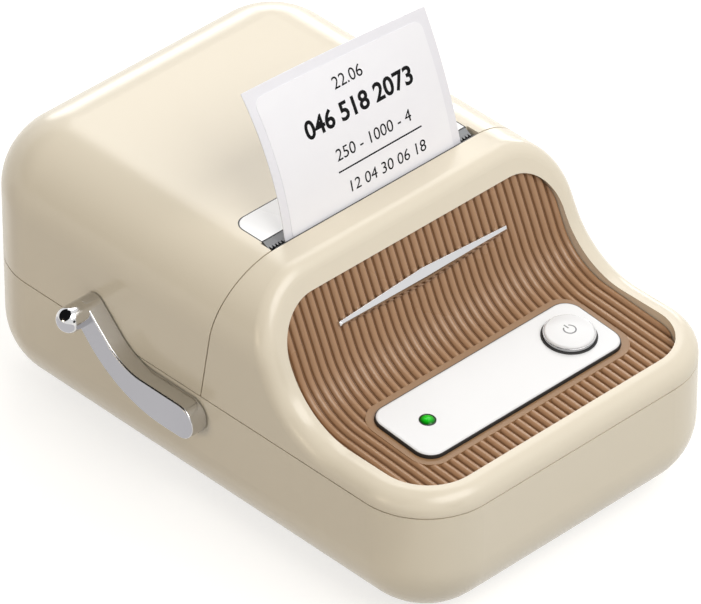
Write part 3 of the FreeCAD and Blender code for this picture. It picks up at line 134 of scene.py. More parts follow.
def seenDirectly(tree):
    # 1 where the camera, a mirror or a clear pane looks, 0 for light falling on the object
    rays = tree.nodes.new("ShaderNodeLightPath").outputs
    seen = mathIn(tree, "MAXIMUM", rays["Is Camera Ray"], rays["Is Glossy Ray"])
    return mathIn(tree, "MAXIMUM", seen, rays["Is Transmission Ray"])


def makeWorld():
    world = bpy.data.worlds.new("studioSky")
    scene.world = world
    world.use_nodes = True
    tree = world.node_tree
    sky = tree.nodes["Background"]
    sky.inputs["Color"].default_value = (1, 1, 1, 1)
    level = rangeIn(tree, seenDirectly(tree), 0, 1, studio["skyLight"], studio["skySeen"])
    tree.links.new(level, sky.inputs["Strength"])


def makeFloor():
    mat = bpy.data.materials.new("palePaperFloor")
    mat.use_nodes = True
    tree = mat.node_tree
    shader = tree.nodes["Principled BSDF"]
    shader.inputs["Base Color"].default_value = studio["floorColour"]
    shader.inputs["Roughness"].default_value = studio["floorRough"]
    shader.inputs["Specular IOR Level"].default_value = 0.0
    shader.inputs["Emission Color"].default_value = (1, 1, 1, 1)
    lift = mathIn(tree, "MULTIPLY", seenDirectly(tree), studio["floorLift"])
    tree.links.new(lift, shader.inputs["Emission Strength"])
    mesh = bmesh.new()
    bmesh.ops.create_grid(mesh, x_segments=1, y_segments=1, size=studio["floorHalf"])
    floor = addObject(mesh, "studioFloor", mat)


def makeLamps():
    for name, (place, aim, wide, high, power, colour) in studio["lamps"].items():
        data = bpy.data.lights.new(name, "AREA")
        data.shape = "RECTANGLE"
        data.size = wide
        data.size_y = high
        data.energy = power
        data.color = colour
        lamp = bpy.data.objects.new(name, data)
        lamp.location = place
        lamp.rotation_euler = (Vector(aim) - Vector(place)).to_track_quat("-Z", "Y").to_euler()
        scene.collection.objects.link(lamp)


def makeCards():
    for name, (place, aim, radius, grey) in studio["cards"].items():
        mat = bpy.data.materials.new(name)
        mat.use_nodes = True
        shader = mat.node_tree.nodes["Principled BSDF"]
        shader.inputs["Base Color"].default_value = (0, 0, 0, 1)
        shader.inputs["Specular IOR Level"].default_value = 0.0
        shader.inputs["Emission Color"].default_value = [grey * share for share in studio["cardTint"]] + [1]
        shader.inputs["Emission Strength"].default_value = 1.0
        mesh = bmesh.new()
        bmesh.ops.create_circle(mesh, cap_ends=True, segments=studio["cardSides"], radius=radius)
        turn = (Vector(aim) - Vector(place)).to_track_quat("Z", "Y").to_matrix().to_4x4()
        bmesh.ops.transform(mesh, verts=mesh.verts, matrix=Matrix.Translation(place) @ turn)
        card = addObject(mesh, name, mat)
        card.visible_camera = False
        card.visible_diffuse = False
        card.visible_shadow = False
        card.visible_transmission = False


makeCamera()
makeWorld()
makeFloor()
makeLamps()
makeCards()
print("studio set up")


# node groups that several finishes share

skinShape = {"grainDetail": 3, "toneDetail": 4, "toneSpread": (0.2, 0.8),
             "marksScale": 1.7, "marksDetail": 2, "marksRough": 0.4, "marksSpread": (0.15, 0.85)}
linesShape = {"fine": 900.0, "detail": 3, "rough": 0.6, "wideScale": 0.12}
fibreShape = {"fine": 2500.0, "detail": 5, "rough": 0.7, "wideScale": 0.08}
wideDetail = 3
wideSpread = (0.3, 0.7)
fibreSpread = (0.3, 0.7)        # most of the fibre height lies between these
def newGroup(name, ins, outs):
    group = bpy.data.node_groups.new(name, "ShaderNodeTree")
    for label, kind, value in ins:
        socket = group.interface.new_socket(label, in_out="INPUT", socket_type=kind)
        if value is not None:
            socket.default_value = value
    for label in outs:
        group.interface.new_socket(label, in_out="OUTPUT", socket_type="NodeSocketFloat")
    return group, group.nodes.new("NodeGroupInput"), group.nodes.new("NodeGroupOutput")


def noiseIn(group, vector, scale, detail, rough=0.55):
    noise = group.nodes.new("ShaderNodeTexNoise")
    noise.inputs["Detail"].default_value = detail
    noise.inputs["Roughness"].default_value = rough
    group.links.new(vector, noise.inputs["Vector"])
    group.links.new(scale, noise.inputs["Scale"])
    return noise.outputs["Fac"]


def makeMouldSkin():
    # fine spark-eroded grain, slow colour drift and faint handling marks of a moulding
    shape = skinShape
    group, start, end = newGroup("mouldSkin", [("Vector", "NodeSocketVector", None),
                                               ("Grain", "NodeSocketFloat", 4000.0),
                                               ("Drift", "NodeSocketFloat", 30.0)],
                                 ["Height", "Tone", "Marks"])
    vector = start.outputs["Vector"]
    grain = noiseIn(group, vector, start.outputs["Grain"], shape["grainDetail"])
    group.links.new(grain, end.inputs["Height"])
    tone = noiseIn(group, vector, start.outputs["Drift"], shape["toneDetail"])
    group.links.new(rangeIn(group, tone, *shape["toneSpread"], 0, 1, True), end.inputs["Tone"])
    wide = mathIn(group, "MULTIPLY", start.outputs["Drift"], shape["marksScale"])
    marks = noiseIn(group, vector, wide, shape["marksDetail"], shape["marksRough"])
    group.links.new(rangeIn(group, marks, *shape["marksSpread"], 0, 1, True), end.inputs["Marks"])
    return group


def makeFineAndWide(name, shape):
    # fine noise for the relief and wide noise for the tone
    group, start, end = newGroup(name, [("Vector", "NodeSocketVector", None),
                                        ("Fine", "NodeSocketFloat", shape["fine"])], ["Height", "Tone"])
    vector = start.outputs["Vector"]
    fine = noiseIn(group, vector, start.outputs["Fine"], shape["detail"], shape["rough"])
    group.links.new(fine, end.inputs["Height"])
    wide = mathIn(group, "MULTIPLY", start.outputs["Fine"], shape["wideScale"])
    tone = noiseIn(group, vector, wide, wideDetail)
    group.links.new(rangeIn(group, tone, *wideSpread, 0, 1), end.inputs["Tone"])
    return group


mouldSkin = makeMouldSkin()
# rolled or brushed metal: the vector comes in already stretched along the lines
drawnLines = makeFineAndWide("drawnLines", linesShape)
# short felted fibres under a coating, and a cloudy formation
paperFibre = makeFineAndWide("paperFibre", fibreShape)


# finishes

def startFinish(name):
    mat = bpy.data.materials.new(name)
    mat.use_nodes = True
    tree = mat.node_tree
    coords = tree.nodes.new("ShaderNodeTexCoord")
    return mat, tree, tree.nodes["Principled BSDF"], coords.outputs["Object"]


def placed(tree, vector, location=(0, 0, 0), turn=(0, 0, 0), scale=(1, 1, 1)):
    node = tree.nodes.new("ShaderNodeMapping")
    node.inputs["Location"].default_value = location
    node.inputs["Rotation"].default_value = turn
    node.inputs["Scale"].default_value = scale
    tree.links.new(vector, node.inputs["Vector"])
    return node.outputs["Vector"]


def useGroup(tree, group, vector, **values):
    node = tree.nodes.new("ShaderNodeGroup")
    node.node_tree = group
    tree.links.new(vector, node.inputs["Vector"])
    for label, value in values.items():
        node.inputs[label].default_value = value
    return node.outputs


def blendColour(tree, mask, first, second):
    node = tree.nodes.new("ShaderNodeMix")
    node.data_type = "RGBA"
    tree.links.new(mask, node.inputs[0])
    for socket, value in ((node.inputs[6], first), (node.inputs[7], second)):
        if isinstance(value, tuple):
            socket.default_value = value + (1,)
        else:
            tree.links.new(value, socket)
    return node.outputs[2]


def addRelief(tree, shader, height, depth):
    node = tree.nodes.new("ShaderNodeBump")
    node.inputs["Strength"].default_value = 1.0
    node.inputs["Distance"].default_value = depth
    tree.links.new(height, node.inputs["Height"])
    tree.links.new(node.outputs["Normal"], shader.inputs["Normal"])


def plasticFinish(name, look):
    mat, tree, shader, vector = startFinish(name)
    skin = useGroup(tree, mouldSkin, vector, Grain=look["grain"], Drift=look["drift"])
    colour = blendColour(tree, skin["Tone"], look["colour"], look["shade"])
    tree.links.new(colour, shader.inputs["Base Color"])
    low, high = look["rough"]
    tree.links.new(rangeIn(tree, skin["Marks"], 0, 1, low, high), shader.inputs["Roughness"])
    addRelief(tree, shader, skin["Height"], look["depth"])
    shader.inputs["IOR"].default_value = look.get("ior", 1.46)
    shader.inputs["Coat Weight"].default_value = look.get("coat", 0.0)
    shader.inputs["Coat Roughness"].default_value = look.get("coatRough", 0.05)
    return mat


def metalFinish(name, look):
    mat, tree, shader, vector = startFinish(name)
    stretched = placed(tree, vector, scale=look["stretch"])
    lines = useGroup(tree, drawnLines, stretched, Fine=look["fine"])
    colour = blendColour(tree, lines["Tone"], look["colour"], look["shade"])
    tree.links.new(colour, shader.inputs["Base Color"])
    low, high = look["rough"]
    tree.links.new(rangeIn(tree, lines["Tone"], 0, 1, low, high), shader.inputs["Roughness"])
    addRelief(tree, shader, lines["Height"], look["depth"])
    shader.inputs["Metallic"].default_value = 1.0
    return mat


def paperFinish(name, look):
    mat, tree, shader, vector = startFinish(name)
    fibre = useGroup(tree, paperFibre, vector, Fine=look["fine"])
    colour = blendColour(tree, fibre["Tone"], look["colour"], look["shade"])
    tree.links.new(colour, shader.inputs["Base Color"])
    low, high = look["rough"]
    tree.links.new(rangeIn(tree, fibre["Height"], *fibreSpread, low, high), shader.inputs["Roughness"])
    addRelief(tree, shader, fibre["Height"], look["depth"])
    shader.inputs["Specular IOR Level"].default_value = look.get("specular", 0.3)
    return mat


creamLook = {"colour": (0.780, 0.704, 0.566), "shade": (0.772, 0.694, 0.554), "rough": (0.22, 0.25),
             "grain": 5200.0, "drift": 14.0, "depth": 1.0e-6, "ior": 1.5}
whiteLook = {"colour": (0.825, 0.825, 0.828), "shade": (0.812, 0.812, 0.816), "rough": (0.22, 0.28),
             "grain": 3000.0, "drift": 35.0, "depth": 0.5e-6, "coat": 0.15}
# painted light: the tear plate's white is set brighter than the other white parts to offset the label's
# shadow on it
tearLitLook = {"colour": (0.915, 0.915, 0.912), "shade": (0.900, 0.900, 0.898), "rough": (0.24, 0.30),
            "grain": 3000.0, "drift": 35.0, "depth": 0.5e-6, "coat": 0.15}
chromeLook = {"colour": (0.700, 0.698, 0.702), "shade": (0.670, 0.668, 0.674), "rough": (0.05, 0.09),
              "stretch": (1, 1, 1), "fine": 500.0, "depth": 0.1e-6}
armLook = {"colour": (0.650, 0.648, 0.652), "shade": (0.620, 0.618, 0.624), "rough": (0.20, 0.27),
           "stretch": (1, 1, 1), "fine": 300.0, "depth": 0.1e-6}
ringLook = {"colour": (0.440, 0.440, 0.446), "shade": (0.410, 0.410, 0.416), "rough": (0.06, 0.10),
            "stretch": (1, 1, 1), "fine": 500.0, "depth": 0.1e-6}
steelLook = {"colour": (0.58, 0.58, 0.585), "shade": (0.545, 0.545, 0.55), "rough": (0.27, 0.33),
             "stretch": (0.06, 1, 1), "fine": 2600.0, "depth": 0.7e-6}
bladeLook = {"colour": (0.300, 0.306, 0.312), "shade": (0.262, 0.268, 0.274), "rough": (0.26, 0.36),
             "stretch": (0.06, 1, 1), "fine": 2600.0, "depth": 1.5e-6}
rubberLook = {"colour": (0.030, 0.030, 0.031), "shade": (0.040, 0.039, 0.038), "rough": (0.62, 0.78),
              "grain": 3500.0, "drift": 60.0, "depth": 8.0e-6}
paperLook = {"colour": (0.955, 0.945, 0.970), "shade": (0.942, 0.930, 0.958), "rough": (0.42, 0.55),
             "fine": 2600.0, "depth": 0.8e-6}
linerLook = {"colour": (0.880, 0.868, 0.905), "shade": (0.865, 0.852, 0.890), "rough": (0.30, 0.40),
             "fine": 2600.0, "depth": 0.6e-6}
boardLook = {"colour": (0.44, 0.31, 0.19), "shade": (0.36, 0.25, 0.15), "rough": (0.75, 0.9),
             "fine": 1500.0, "depth": 8.0e-6, "specular": 0.15}
greyLook = {"colour": (0.155, 0.155, 0.160), "shade": (0.135, 0.135, 0.140), "rough": (0.40, 0.52),
            "grain": 4200.0, "drift": 50.0, "depth": 4.0e-6}
laminateLook = {"colour": (0.014, 0.110, 0.052), "shade": (0.010, 0.086, 0.042), "rough": (0.28, 0.40),
                "grain": 1800.0, "drift": 90.0, "depth": 3.0e-6}
darkLook = {"colour": (0.022, 0.022, 0.024), "shade": (0.030, 0.030, 0.031), "rough": (0.42, 0.55),
            "grain": 4200.0, "drift": 50.0, "depth": 5.0e-6}
clearLook = {"colour": (0.70, 0.78, 0.66), "shade": (0.66, 0.74, 0.62), "rough": (0.12, 0.18),
             "grain": 3000.0, "drift": 60.0, "depth": 0.5e-6}
brassLook = {"colour": (0.62, 0.43, 0.17), "shade": (0.52, 0.35, 0.13), "rough": (0.22, 0.34),
             "stretch": (1, 0.2, 0.2), "fine": 3200.0, "depth": 1.5e-6}
aluminiumLook = {"colour": (0.66, 0.66, 0.67), "shade": (0.58, 0.58, 0.59), "rough": (0.34, 0.46),
                 "stretch": (0.08, 1, 1), "fine": 2200.0, "depth": 2.0e-6}
inkLook = {"colour": (0.008, 0.008, 0.009), "shade": (0.013, 0.013, 0.014), "rough": (0.6, 0.7),
           "fine": 2600.0, "depth": 0.5e-6, "specular": 0.05}
symbolLook = {"colour": (0.17, 0.17, 0.175), "shade": (0.21, 0.21, 0.215), "rough": (0.30, 0.40),
              "grain": 4000.0, "drift": 120.0, "depth": 0.5e-6}

creamShell = plasticFinish("creamShell", creamLook)
whiteGloss = plasticFinish("whiteGloss", whiteLook)
tearLitWhite = plasticFinish("tearLitWhite", tearLitLook)
brightChrome = metalFinish("brightChrome", chromeLook)
armChrome = metalFinish("armChrome", armLook)
ringChrome = metalFinish("ringChrome", ringLook)
plainSteel = metalFinish("plainSteel", steelLook)
bladeSteel = metalFinish("bladeSteel", bladeLook)
blackRubber = plasticFinish("blackRubber", rubberLook)
labelPaper = paperFinish("labelPaper", paperLook)
linerPaper = paperFinish("linerPaper", linerLook)
coreBoard = paperFinish("coreBoard", boardLook)
greyPlastic = plasticFinish("greyPlastic", greyLook)
greenLaminate = plasticFinish("greenLaminate", laminateLook)
darkPlastic = plasticFinish("darkPlastic", darkLook)
clearCap = plasticFinish("clearCap", clearLook)
bushBrass = metalFinish("bushBrass", brassLook)
headAluminium = metalFinish("headAluminium", aluminiumLook)
printInk = paperFinish("printInk", inkLook)
symbolGrey = plasticFinish("symbolGrey", symbolLook)


# fluted panel with a smooth border round the control plate

# the darkest colour here is painted shade for the grooves between the reeds
reedLook = {"colour": (0.418, 0.241, 0.130), "shade": (0.390, 0.222, 0.117), "groove": (0.115, 0.055, 0.025),
            "pitch": 2.0 * mm, "grooveTo": 0.30, "rough": (0.24, 0.30), "grain": 2600.0, "drift": 26.0,
            "streak": (900, 40, 40), "streakFine": 2.2, "streakSpread": (0.35, 0.7), "streakShare": 0.35,
            "depth": 1.2e-6,
            "border": {"half": (25.5 * mm, 6.6 * mm), "from": 3.75 * mm, "to": 3.95 * mm}}
# painted shade: the border is the reeds' plastic, its brown set darker to offset the sky's reflection on it
borderShadedLook = {"colour": (0.330, 0.186, 0.088), "shade": (0.310, 0.172, 0.080), "rough": (0.34, 0.40),
              "grain": 2600.0, "drift": 26.0, "depth": 1.2e-6}
plateFrame = {"centre": (0, -43.1 * mm, 33.15 * mm), "slope": 4.5, "top": 1.0 * mm}


def onPlate(x=0.0):
    turn = Matrix.Rotation(math.radians(plateFrame["slope"]), 4, "X")
    return Matrix.Translation(plateFrame["centre"]) @ turn @ Matrix.Translation((x, 0, 0))


def plateVector(tree, vector):
    # coordinates that lie in the control plate
    moved = placed(tree, vector, location=[-value for value in plateFrame["centre"]])
    return placed(tree, moved, turn=(-math.radians(plateFrame["slope"]), 0, 0))


def beyondBorder(tree, vector):
    # 0 on the smooth border round the plate, 1 on the reeds: distance from a rounded rectangle
    border = reedLook["border"]
    axes = tree.nodes.new("ShaderNodeSeparateXYZ")
    tree.links.new(plateVector(tree, vector), axes.inputs["Vector"])
    steps = []
    for axis, half in zip(("X", "Y"), border["half"]):
        out = mathIn(tree, "SUBTRACT", mathIn(tree, "ABSOLUTE", axes.outputs[axis], 0), half)
        out = mathIn(tree, "MAXIMUM", out, 0)
        steps.append(mathIn(tree, "MULTIPLY", out, out))
    far = mathIn(tree, "SQRT", mathIn(tree, "ADD", steps[0], steps[1]), 0)
    return rangeIn(tree, far, border["from"], border["to"], 0, 1)


def makeReedFinish():
    # satin brown with fine streaks along the reeds, and painted shade that darkens the grooves between them
    mat, tree, shader, vector = startFinish("brownReed")
    skin = useGroup(tree, mouldSkin, vector, Grain=reedLook["grain"], Drift=reedLook["drift"])
    stretched = placed(tree, vector, scale=reedLook["streak"])
    lines = useGroup(tree, drawnLines, stretched, Fine=reedLook["streakFine"])
    base = blendColour(tree, skin["Tone"], reedLook["colour"], reedLook["shade"])
    streak = rangeIn(tree, lines["Height"], *reedLook["streakSpread"], 0, reedLook["streakShare"])
    streaked = blendColour(tree, streak, base, reedLook["shade"])
    axes = tree.nodes.new("ShaderNodeSeparateXYZ")
    tree.links.new(vector, axes.inputs["Vector"])
    # distance from the nearest groove, which lies on every even step of half the pitch
    across = mathIn(tree, "PINGPONG", axes.outputs["X"], reedLook["pitch"] / 2)
    # painted shade: the colour is darkened in the grooves, where shade falls between the reeds
    groove = rangeIn(tree, across, 0, reedLook["pitch"] / 2 * reedLook["grooveTo"], 1, 0)
    groove = mathIn(tree, "MULTIPLY", groove, beyondBorder(tree, vector))
    tree.links.new(blendColour(tree, groove, streaked, reedLook["groove"]), shader.inputs["Base Color"])
    low, high = reedLook["rough"]
    tree.links.new(rangeIn(tree, skin["Marks"], 0, 1, low, high), shader.inputs["Roughness"])
    addRelief(tree, shader, skin["Height"], reedLook["depth"])
    return mat


# label roll

rollLook = {"colour": (0.900, 0.892, 0.905), "shade": (0.60, 0.585, 0.57), "backing": (0.760, 0.735, 0.700),
            "centre": (0, -31.0 * mm, -32.0 * mm), "layer": 0.32 * mm, "labels": 4,
            "end": 23.9 * mm, "endSoft": 0.05 * mm, "margin": 22.0 * mm, "marginSoft": 0.1 * mm,
            "gap": 0.055, "gapSoft": 1.1, "ringSpread": (0.55, 1.0), "ringShade": (0.04, 0.6),
            "ringRelief": 0.1, "rough": (0.5, 0.65), "fine": 2600.0, "depth": 60.0e-6}


def makeRollFinish():
    # the ends show the layers as fine rings; outside lie labels with narrow gaps on their backing
    mat, tree, shader, vector = startFinish("woundPaper")
    axes = tree.nodes.new("ShaderNodeSeparateXYZ")
    tree.links.new(placed(tree, vector, location=rollLook["centre"]), axes.inputs["Vector"])
    y, z = axes.outputs["Y"], axes.outputs["Z"]
    square = mathIn(tree, "ADD", mathIn(tree, "MULTIPLY", y, y), mathIn(tree, "MULTIPLY", z, z))
    layers = mathIn(tree, "PINGPONG", mathIn(tree, "SQRT", square, 0), rollLook["layer"] / 2)
    along = mathIn(tree, "ABSOLUTE", axes.outputs["X"], 0)
    atEnd = rangeIn(tree, along, rollLook["end"], rollLook["end"] + rollLook["endSoft"], 0, 1)
    rings = mathIn(tree, "MULTIPLY", rangeIn(tree, layers, 0, rollLook["layer"] / 2, 0, 1), atEnd)
    around = mathIn(tree, "PINGPONG", mathIn(tree, "ARCTAN2", y, z), math.pi / rollLook["labels"])
    gap = rangeIn(tree, around, rollLook["gap"], rollLook["gap"] * rollLook["gapSoft"], 1, 0)
    margin = rangeIn(tree, along, rollLook["margin"], rollLook["margin"] + rollLook["marginSoft"], 0, 1)
    backing = mathIn(tree, "MAXIMUM", gap, margin)
    fibre = useGroup(tree, paperFibre, vector, Fine=rollLook["fine"])
    outside = blendColour(tree, backing, rollLook["colour"], rollLook["backing"])
    ringShade = rangeIn(tree, rings, *rollLook["ringSpread"], *rollLook["ringShade"])
    uneven = mathIn(tree, "MULTIPLY", ringShade, fibre["Tone"])
    tree.links.new(blendColour(tree, uneven, outside, rollLook["shade"]), shader.inputs["Base Color"])
    rough = rangeIn(tree, fibre["Height"], *fibreSpread, *rollLook["rough"])
    tree.links.new(rough, shader.inputs["Roughness"])
    relief = mathIn(tree, "MULTIPLY", rings, rollLook["ringRelief"])
    addRelief(tree, shader, mathIn(tree, "SUBTRACT", relief, backing), rollLook["depth"])
    return mat


# lens of the status light

lensLook = {"colour": (0.003, 0.330, 0.006), "shade": (0.002, 0.260, 0.004), "rim": (0.001, 0.070, 0.002),
            "glow": (0.01, 0.62, 0.01), "rimGlow": (0.0, 0.02, 0.0), "glowLevel": 0.55, "rough": (0.10, 0.18),
            "grain": 2500.0, "drift": 260.0, "depth": 0.5e-6, "ior": 1.35,
            "offset": 19.6 * mm, "from": 0.5 * mm, "to": 1.6 * mm}


def makeLensFinish():
    # the light inside is bright in the middle and falls off towards the rim, and the colour is painted darker
    # towards the rim as shade at the lens's edge
    mat = plasticFinish("greenLens", lensLook)
    tree = mat.node_tree
    shader = tree.nodes["Principled BSDF"]
    coords = tree.nodes.new("ShaderNodeTexCoord").outputs["Object"]
    flat = tree.nodes.new("ShaderNodeVectorMath")
    flat.operation = "MULTIPLY"
    flat.inputs[1].default_value = (1, 1, 0)
    centred = placed(tree, plateVector(tree, coords), location=(lensLook["offset"], 0, 0))
    tree.links.new(centred, flat.inputs[0])
    far = tree.nodes.new("ShaderNodeVectorMath")
    far.operation = "LENGTH"
    tree.links.new(flat.outputs[0], far.inputs[0])
    mask = rangeIn(tree, far.outputs["Value"], lensLook["from"], lensLook["to"], 0, 1, True)
    glow = blendColour(tree, mask, lensLook["glow"], lensLook["rimGlow"])
    tree.links.new(glow, shader.inputs["Emission Color"])
    base = shader.inputs["Base Color"].links[0].from_socket
    # painted shade: the lens colour darkens towards its rim
    tree.links.new(blendColour(tree, mask, base, lensLook["rim"]), shader.inputs["Base Color"])
    shader.inputs["Emission Strength"].default_value = lensLook["glowLevel"]
    return mat


brownReed = makeReedFinish()
brownBorderShaded = plasticFinish("brownBorderShaded", borderShadedLook)
woundPaper = makeRollFinish()
greenLens = makeLensFinish()

slotFinish = {"cream_shell": creamShell, "brown_reed": brownReed, "white_gloss": whiteGloss,
              "bright_chrome": brightChrome, "steel": plainSteel, "black_rubber": blackRubber,
              "label_paper": labelPaper, "core_board": coreBoard, "green_lens": greenLens,
              "grey_plastic": greyPlastic, "board_green": greenLaminate, "dark_plastic": darkPlastic,
              "led_white": clearCap, "bush_brass": bushBrass, "head_aluminium": headAluminium}
# nodes that differ from the rest of their slot
nodeFinish = {"label_roll": woundPaper, "label_liner": linerPaper, "tear_plate": tearLitWhite}


def dressNodes():
    for part in frame["record"]["subparts"]:
        mat = nodeFinish.get(part["node"], slotFinish[part["material_slot"]])
        nodes[part["node"]].material_slots[0].material = mat


dressNodes()
print("finishes made and put on the nodes")


# helpers for new pieces

def finishPiece(mesh, name, body, mat, sharp=35):
    for face in mesh.faces:
        face.smooth = True
    for edge in mesh.edges:
        if len(edge.link_faces) == 2 and edge.calc_face_angle(0) > math.radians(sharp):
            edge.smooth = False
    piece = addObject(mesh, name, mat)
    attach(piece, body)
    return piece


def copyNode(node):
    # the node's loose triangles are merged, and flat areas become single faces
    mesh = bmesh.new()
    mesh.from_mesh(nodes[node].data)
    bmesh.ops.remove_doubles(mesh, verts=mesh.verts, dist=mergeWithin)
    bmesh.ops.dissolve_limit(mesh, angle_limit=flatWithin, verts=mesh.verts, edges=mesh.edges)
    return mesh


def lathe(profile, place, steps=64, closed=False):
    # the profile's points are radius and height; the shape turns round Z and is then put in its place
    mesh = bmesh.new()
    verts = [mesh.verts.new((radius, 0, height)) for radius, height in profile]
    ends = verts[1:] + verts[:1] if closed else verts[1:]
    edges = [mesh.edges.new(pair) for pair in zip(verts, ends)]
    bmesh.ops.spin(mesh, geom=verts + edges, cent=(0, 0, 0), axis=(0, 0, 1), angle=2 * math.pi, steps=steps,
                   use_merge=True)
    bmesh.ops.remove_doubles(mesh, verts=mesh.verts, dist=mergeWithin)
    bmesh.ops.recalc_face_normals(mesh, faces=mesh.faces)
    bmesh.ops.transform(mesh, matrix=place, verts=mesh.verts)
    return mesh


def arc(radius, height, size, start, end, steps):
    # points on a circle round (radius, height), angles in degrees
    points = []
    for i in range(steps + 1):
        angle = math.radians(start + (end - start) * i / steps)
        points.append((radius + size * math.cos(angle), height + size * math.sin(angle)))
    return points


def evenShade(piece):
    even = piece.modifiers.new("flatFaces", "WEIGHTED_NORMAL")
    even.keep_sharp = True
    return piece


def roundEdges(mesh, edges, width, segments, clamp=True):
    bmesh.ops.bevel(mesh, geom=edges, offset=width, offset_type="OFFSET", segments=segments, profile=0.5,
                    affect="EDGES", clamp_overlap=clamp, material=-1)


def breakEdges(mesh, width, segments, angle=40):
    edges = [e for e in mesh.edges if len(e.link_faces) == 2 and e.calc_face_angle(0) > math.radians(angle)]
    roundEdges(mesh, edges, width, segments)


def keepLargest(mesh, direction):
    # only the largest face that looks in the direction stays
    facing = [face for face in mesh.faces if face.normal.dot(direction) > 0.99]
    kept = max(facing, key=lambda face: face.calc_area())
    bmesh.ops.delete(mesh, geom=[face for face in mesh.faces if face is not kept], context="FACES")
    return kept


def extrudeFaces(mesh, step):
    # flat faces become a closed body
    grown = bmesh.ops.extrude_face_region(mesh, geom=mesh.faces[:])["geom"]
    verts = [item for item in grown if isinstance(item, bmesh.types.BMVert)]
    bmesh.ops.translate(mesh, verts=verts, vec=step)
    bmesh.ops.recalc_face_normals(mesh, faces=mesh.faces)


def cutMesh(mesh, place, normal, clear=False):
    geom = mesh.verts[:] + mesh.edges[:] + mesh.faces[:]
    bmesh.ops.bisect_plane(mesh, geom=geom, dist=cutWithin, plane_co=place, plane_no=normal,
                           clear_inner=clear)


def thicken(mesh, depth):
    # a flat print becomes a closed film whose front stays where it is
    mesh.normal_update()
    behind = [(vert, vert.co - vert.normal * depth) for vert in mesh.verts]
    bmesh.ops.extrude_face_region(mesh, geom=mesh.faces[:])
    for vert, place in behind:
        vert.co = place
    bmesh.ops.recalc_face_normals(mesh, faces=mesh.faces)


# side lever: the arm with softly broken edges, and a round grip that runs through its end

leverShape = {
    "armEdge": 0.38 * mm,
    "segments": 4,
    "gripAxis": (27.3 * mm, 36.3 * mm),
    "gripRadius": 2.80 * mm,
    "gripFrom": 43.2 * mm,
    "domeFrom": 50.05 * mm,
    "domeReach": 2.75 * mm,
    "domeSteps": 14,
}


def makeLeverArm():
    shape = leverShape
    mesh = copyNode("lever_arm")
    inner = max(vert.co.x for vert in mesh.verts)
    outer = keepLargest(mesh, Vector((-1, 0, 0)))
    extrudeFaces(mesh, (inner - outer.verts[0].co.x, 0, 0))
    low = min(vert.co.x for vert in mesh.verts) + mergeWithin
    rim = [edge for edge in mesh.edges if all(vert.co.x < low for vert in edge.verts)]
    roundEdges(mesh, rim, shape["armEdge"], shape["segments"], False)
    piece = finishPiece(mesh, "leverArm", "lever", armChrome)
    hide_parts("lever_arm")
    evenShade(piece)


def makeLeverGrip():
    shape = leverShape
    y, z = shape["gripAxis"]
    profile = [(0, shape["gripFrom"]), (shape["gripRadius"], shape["gripFrom"])]
    for radius, height in arc(0, 0, 1, 0, 90, shape["domeSteps"]):
        profile.append((shape["gripRadius"] * radius, shape["domeFrom"] + shape["domeReach"] * height))
    turn = Matrix.Rotation(math.radians(-90), 4, "Y")
    mesh = lathe(profile, Matrix.Translation((0, y, z)) @ turn)
    piece = finishPiece(mesh, "leverGrip", "lever", brightChrome)
    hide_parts("lever_knob")


makeLeverArm()
makeLeverGrip()
print("lever made")


# plain trim bar with a ridge along its middle

trimShape = {
    "place": (0, -21.355 * mm, 47.5 * mm),
    "lean": 66.0,
    "half": 23.0 * mm,
    "middle": 1.68 * mm,
    "tip": 0.48 * mm,
    "tipInset": 0.9,            # share of the tip's half width
    "side": 0.75 * mm,
    "ridge": 1.58 * mm,
    "tipRidge": 1.02 * mm,
    "base": -0.2 * mm,
    "edge": 0.10 * mm,
    "edgeAngle": 8,
    "segments": 3,
}


def makeTrimBar():
    shape = trimShape
    mesh = bmesh.new()
    outline = [(-shape["half"], -shape["tip"]), (0, -shape["middle"]), (shape["half"], -shape["tip"]),
               (shape["half"], shape["tip"]), (0, shape["middle"]), (-shape["half"], shape["tip"])]
    base = [mesh.verts.new((x, y, shape["base"])) for x, y in outline]
    rim = [mesh.verts.new((x, y, shape["side"])) for x, y in outline]
    inset = shape["tip"] * shape["tipInset"]
    left = mesh.verts.new((-shape["half"] + inset, 0, shape["tipRidge"]))
    top = mesh.verts.new((0, 0, shape["ridge"]))
    right = mesh.verts.new((shape["half"] - inset, 0, shape["tipRidge"]))
    mesh.faces.new(base[::-1])
    for i in range(len(outline)):
        j = (i + 1) % len(outline)
        mesh.faces.new((base[i], base[j], rim[j], rim[i]))
    for loop in ((rim[0], rim[1], top, left), (rim[1], rim[2], right, top), (rim[2], rim[3], right),
                 (rim[3], rim[4], top, right), (rim[4], rim[5], left, top), (rim[5], rim[0], left)):
        mesh.faces.new(loop)
    bmesh.ops.recalc_face_normals(mesh, faces=mesh.faces)
    edges = [edge for edge in mesh.edges if edge.calc_face_angle(0) > math.radians(shape["edgeAngle"])
             and min(vert.co.z for vert in edge.verts) > 0]
    roundEdges(mesh, edges, shape["edge"], shape["segments"])
    turn = Matrix.Rotation(math.radians(shape["lean"]), 4, "X")
    bmesh.ops.transform(mesh, matrix=Matrix.Translation(shape["place"]) @ turn, verts=mesh.verts)
    piece = finishPiece(mesh, "trimBar", "case", brightChrome)
    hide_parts("trim_bar")
    evenShade(piece)


makeTrimBar()
print("trim bar made")
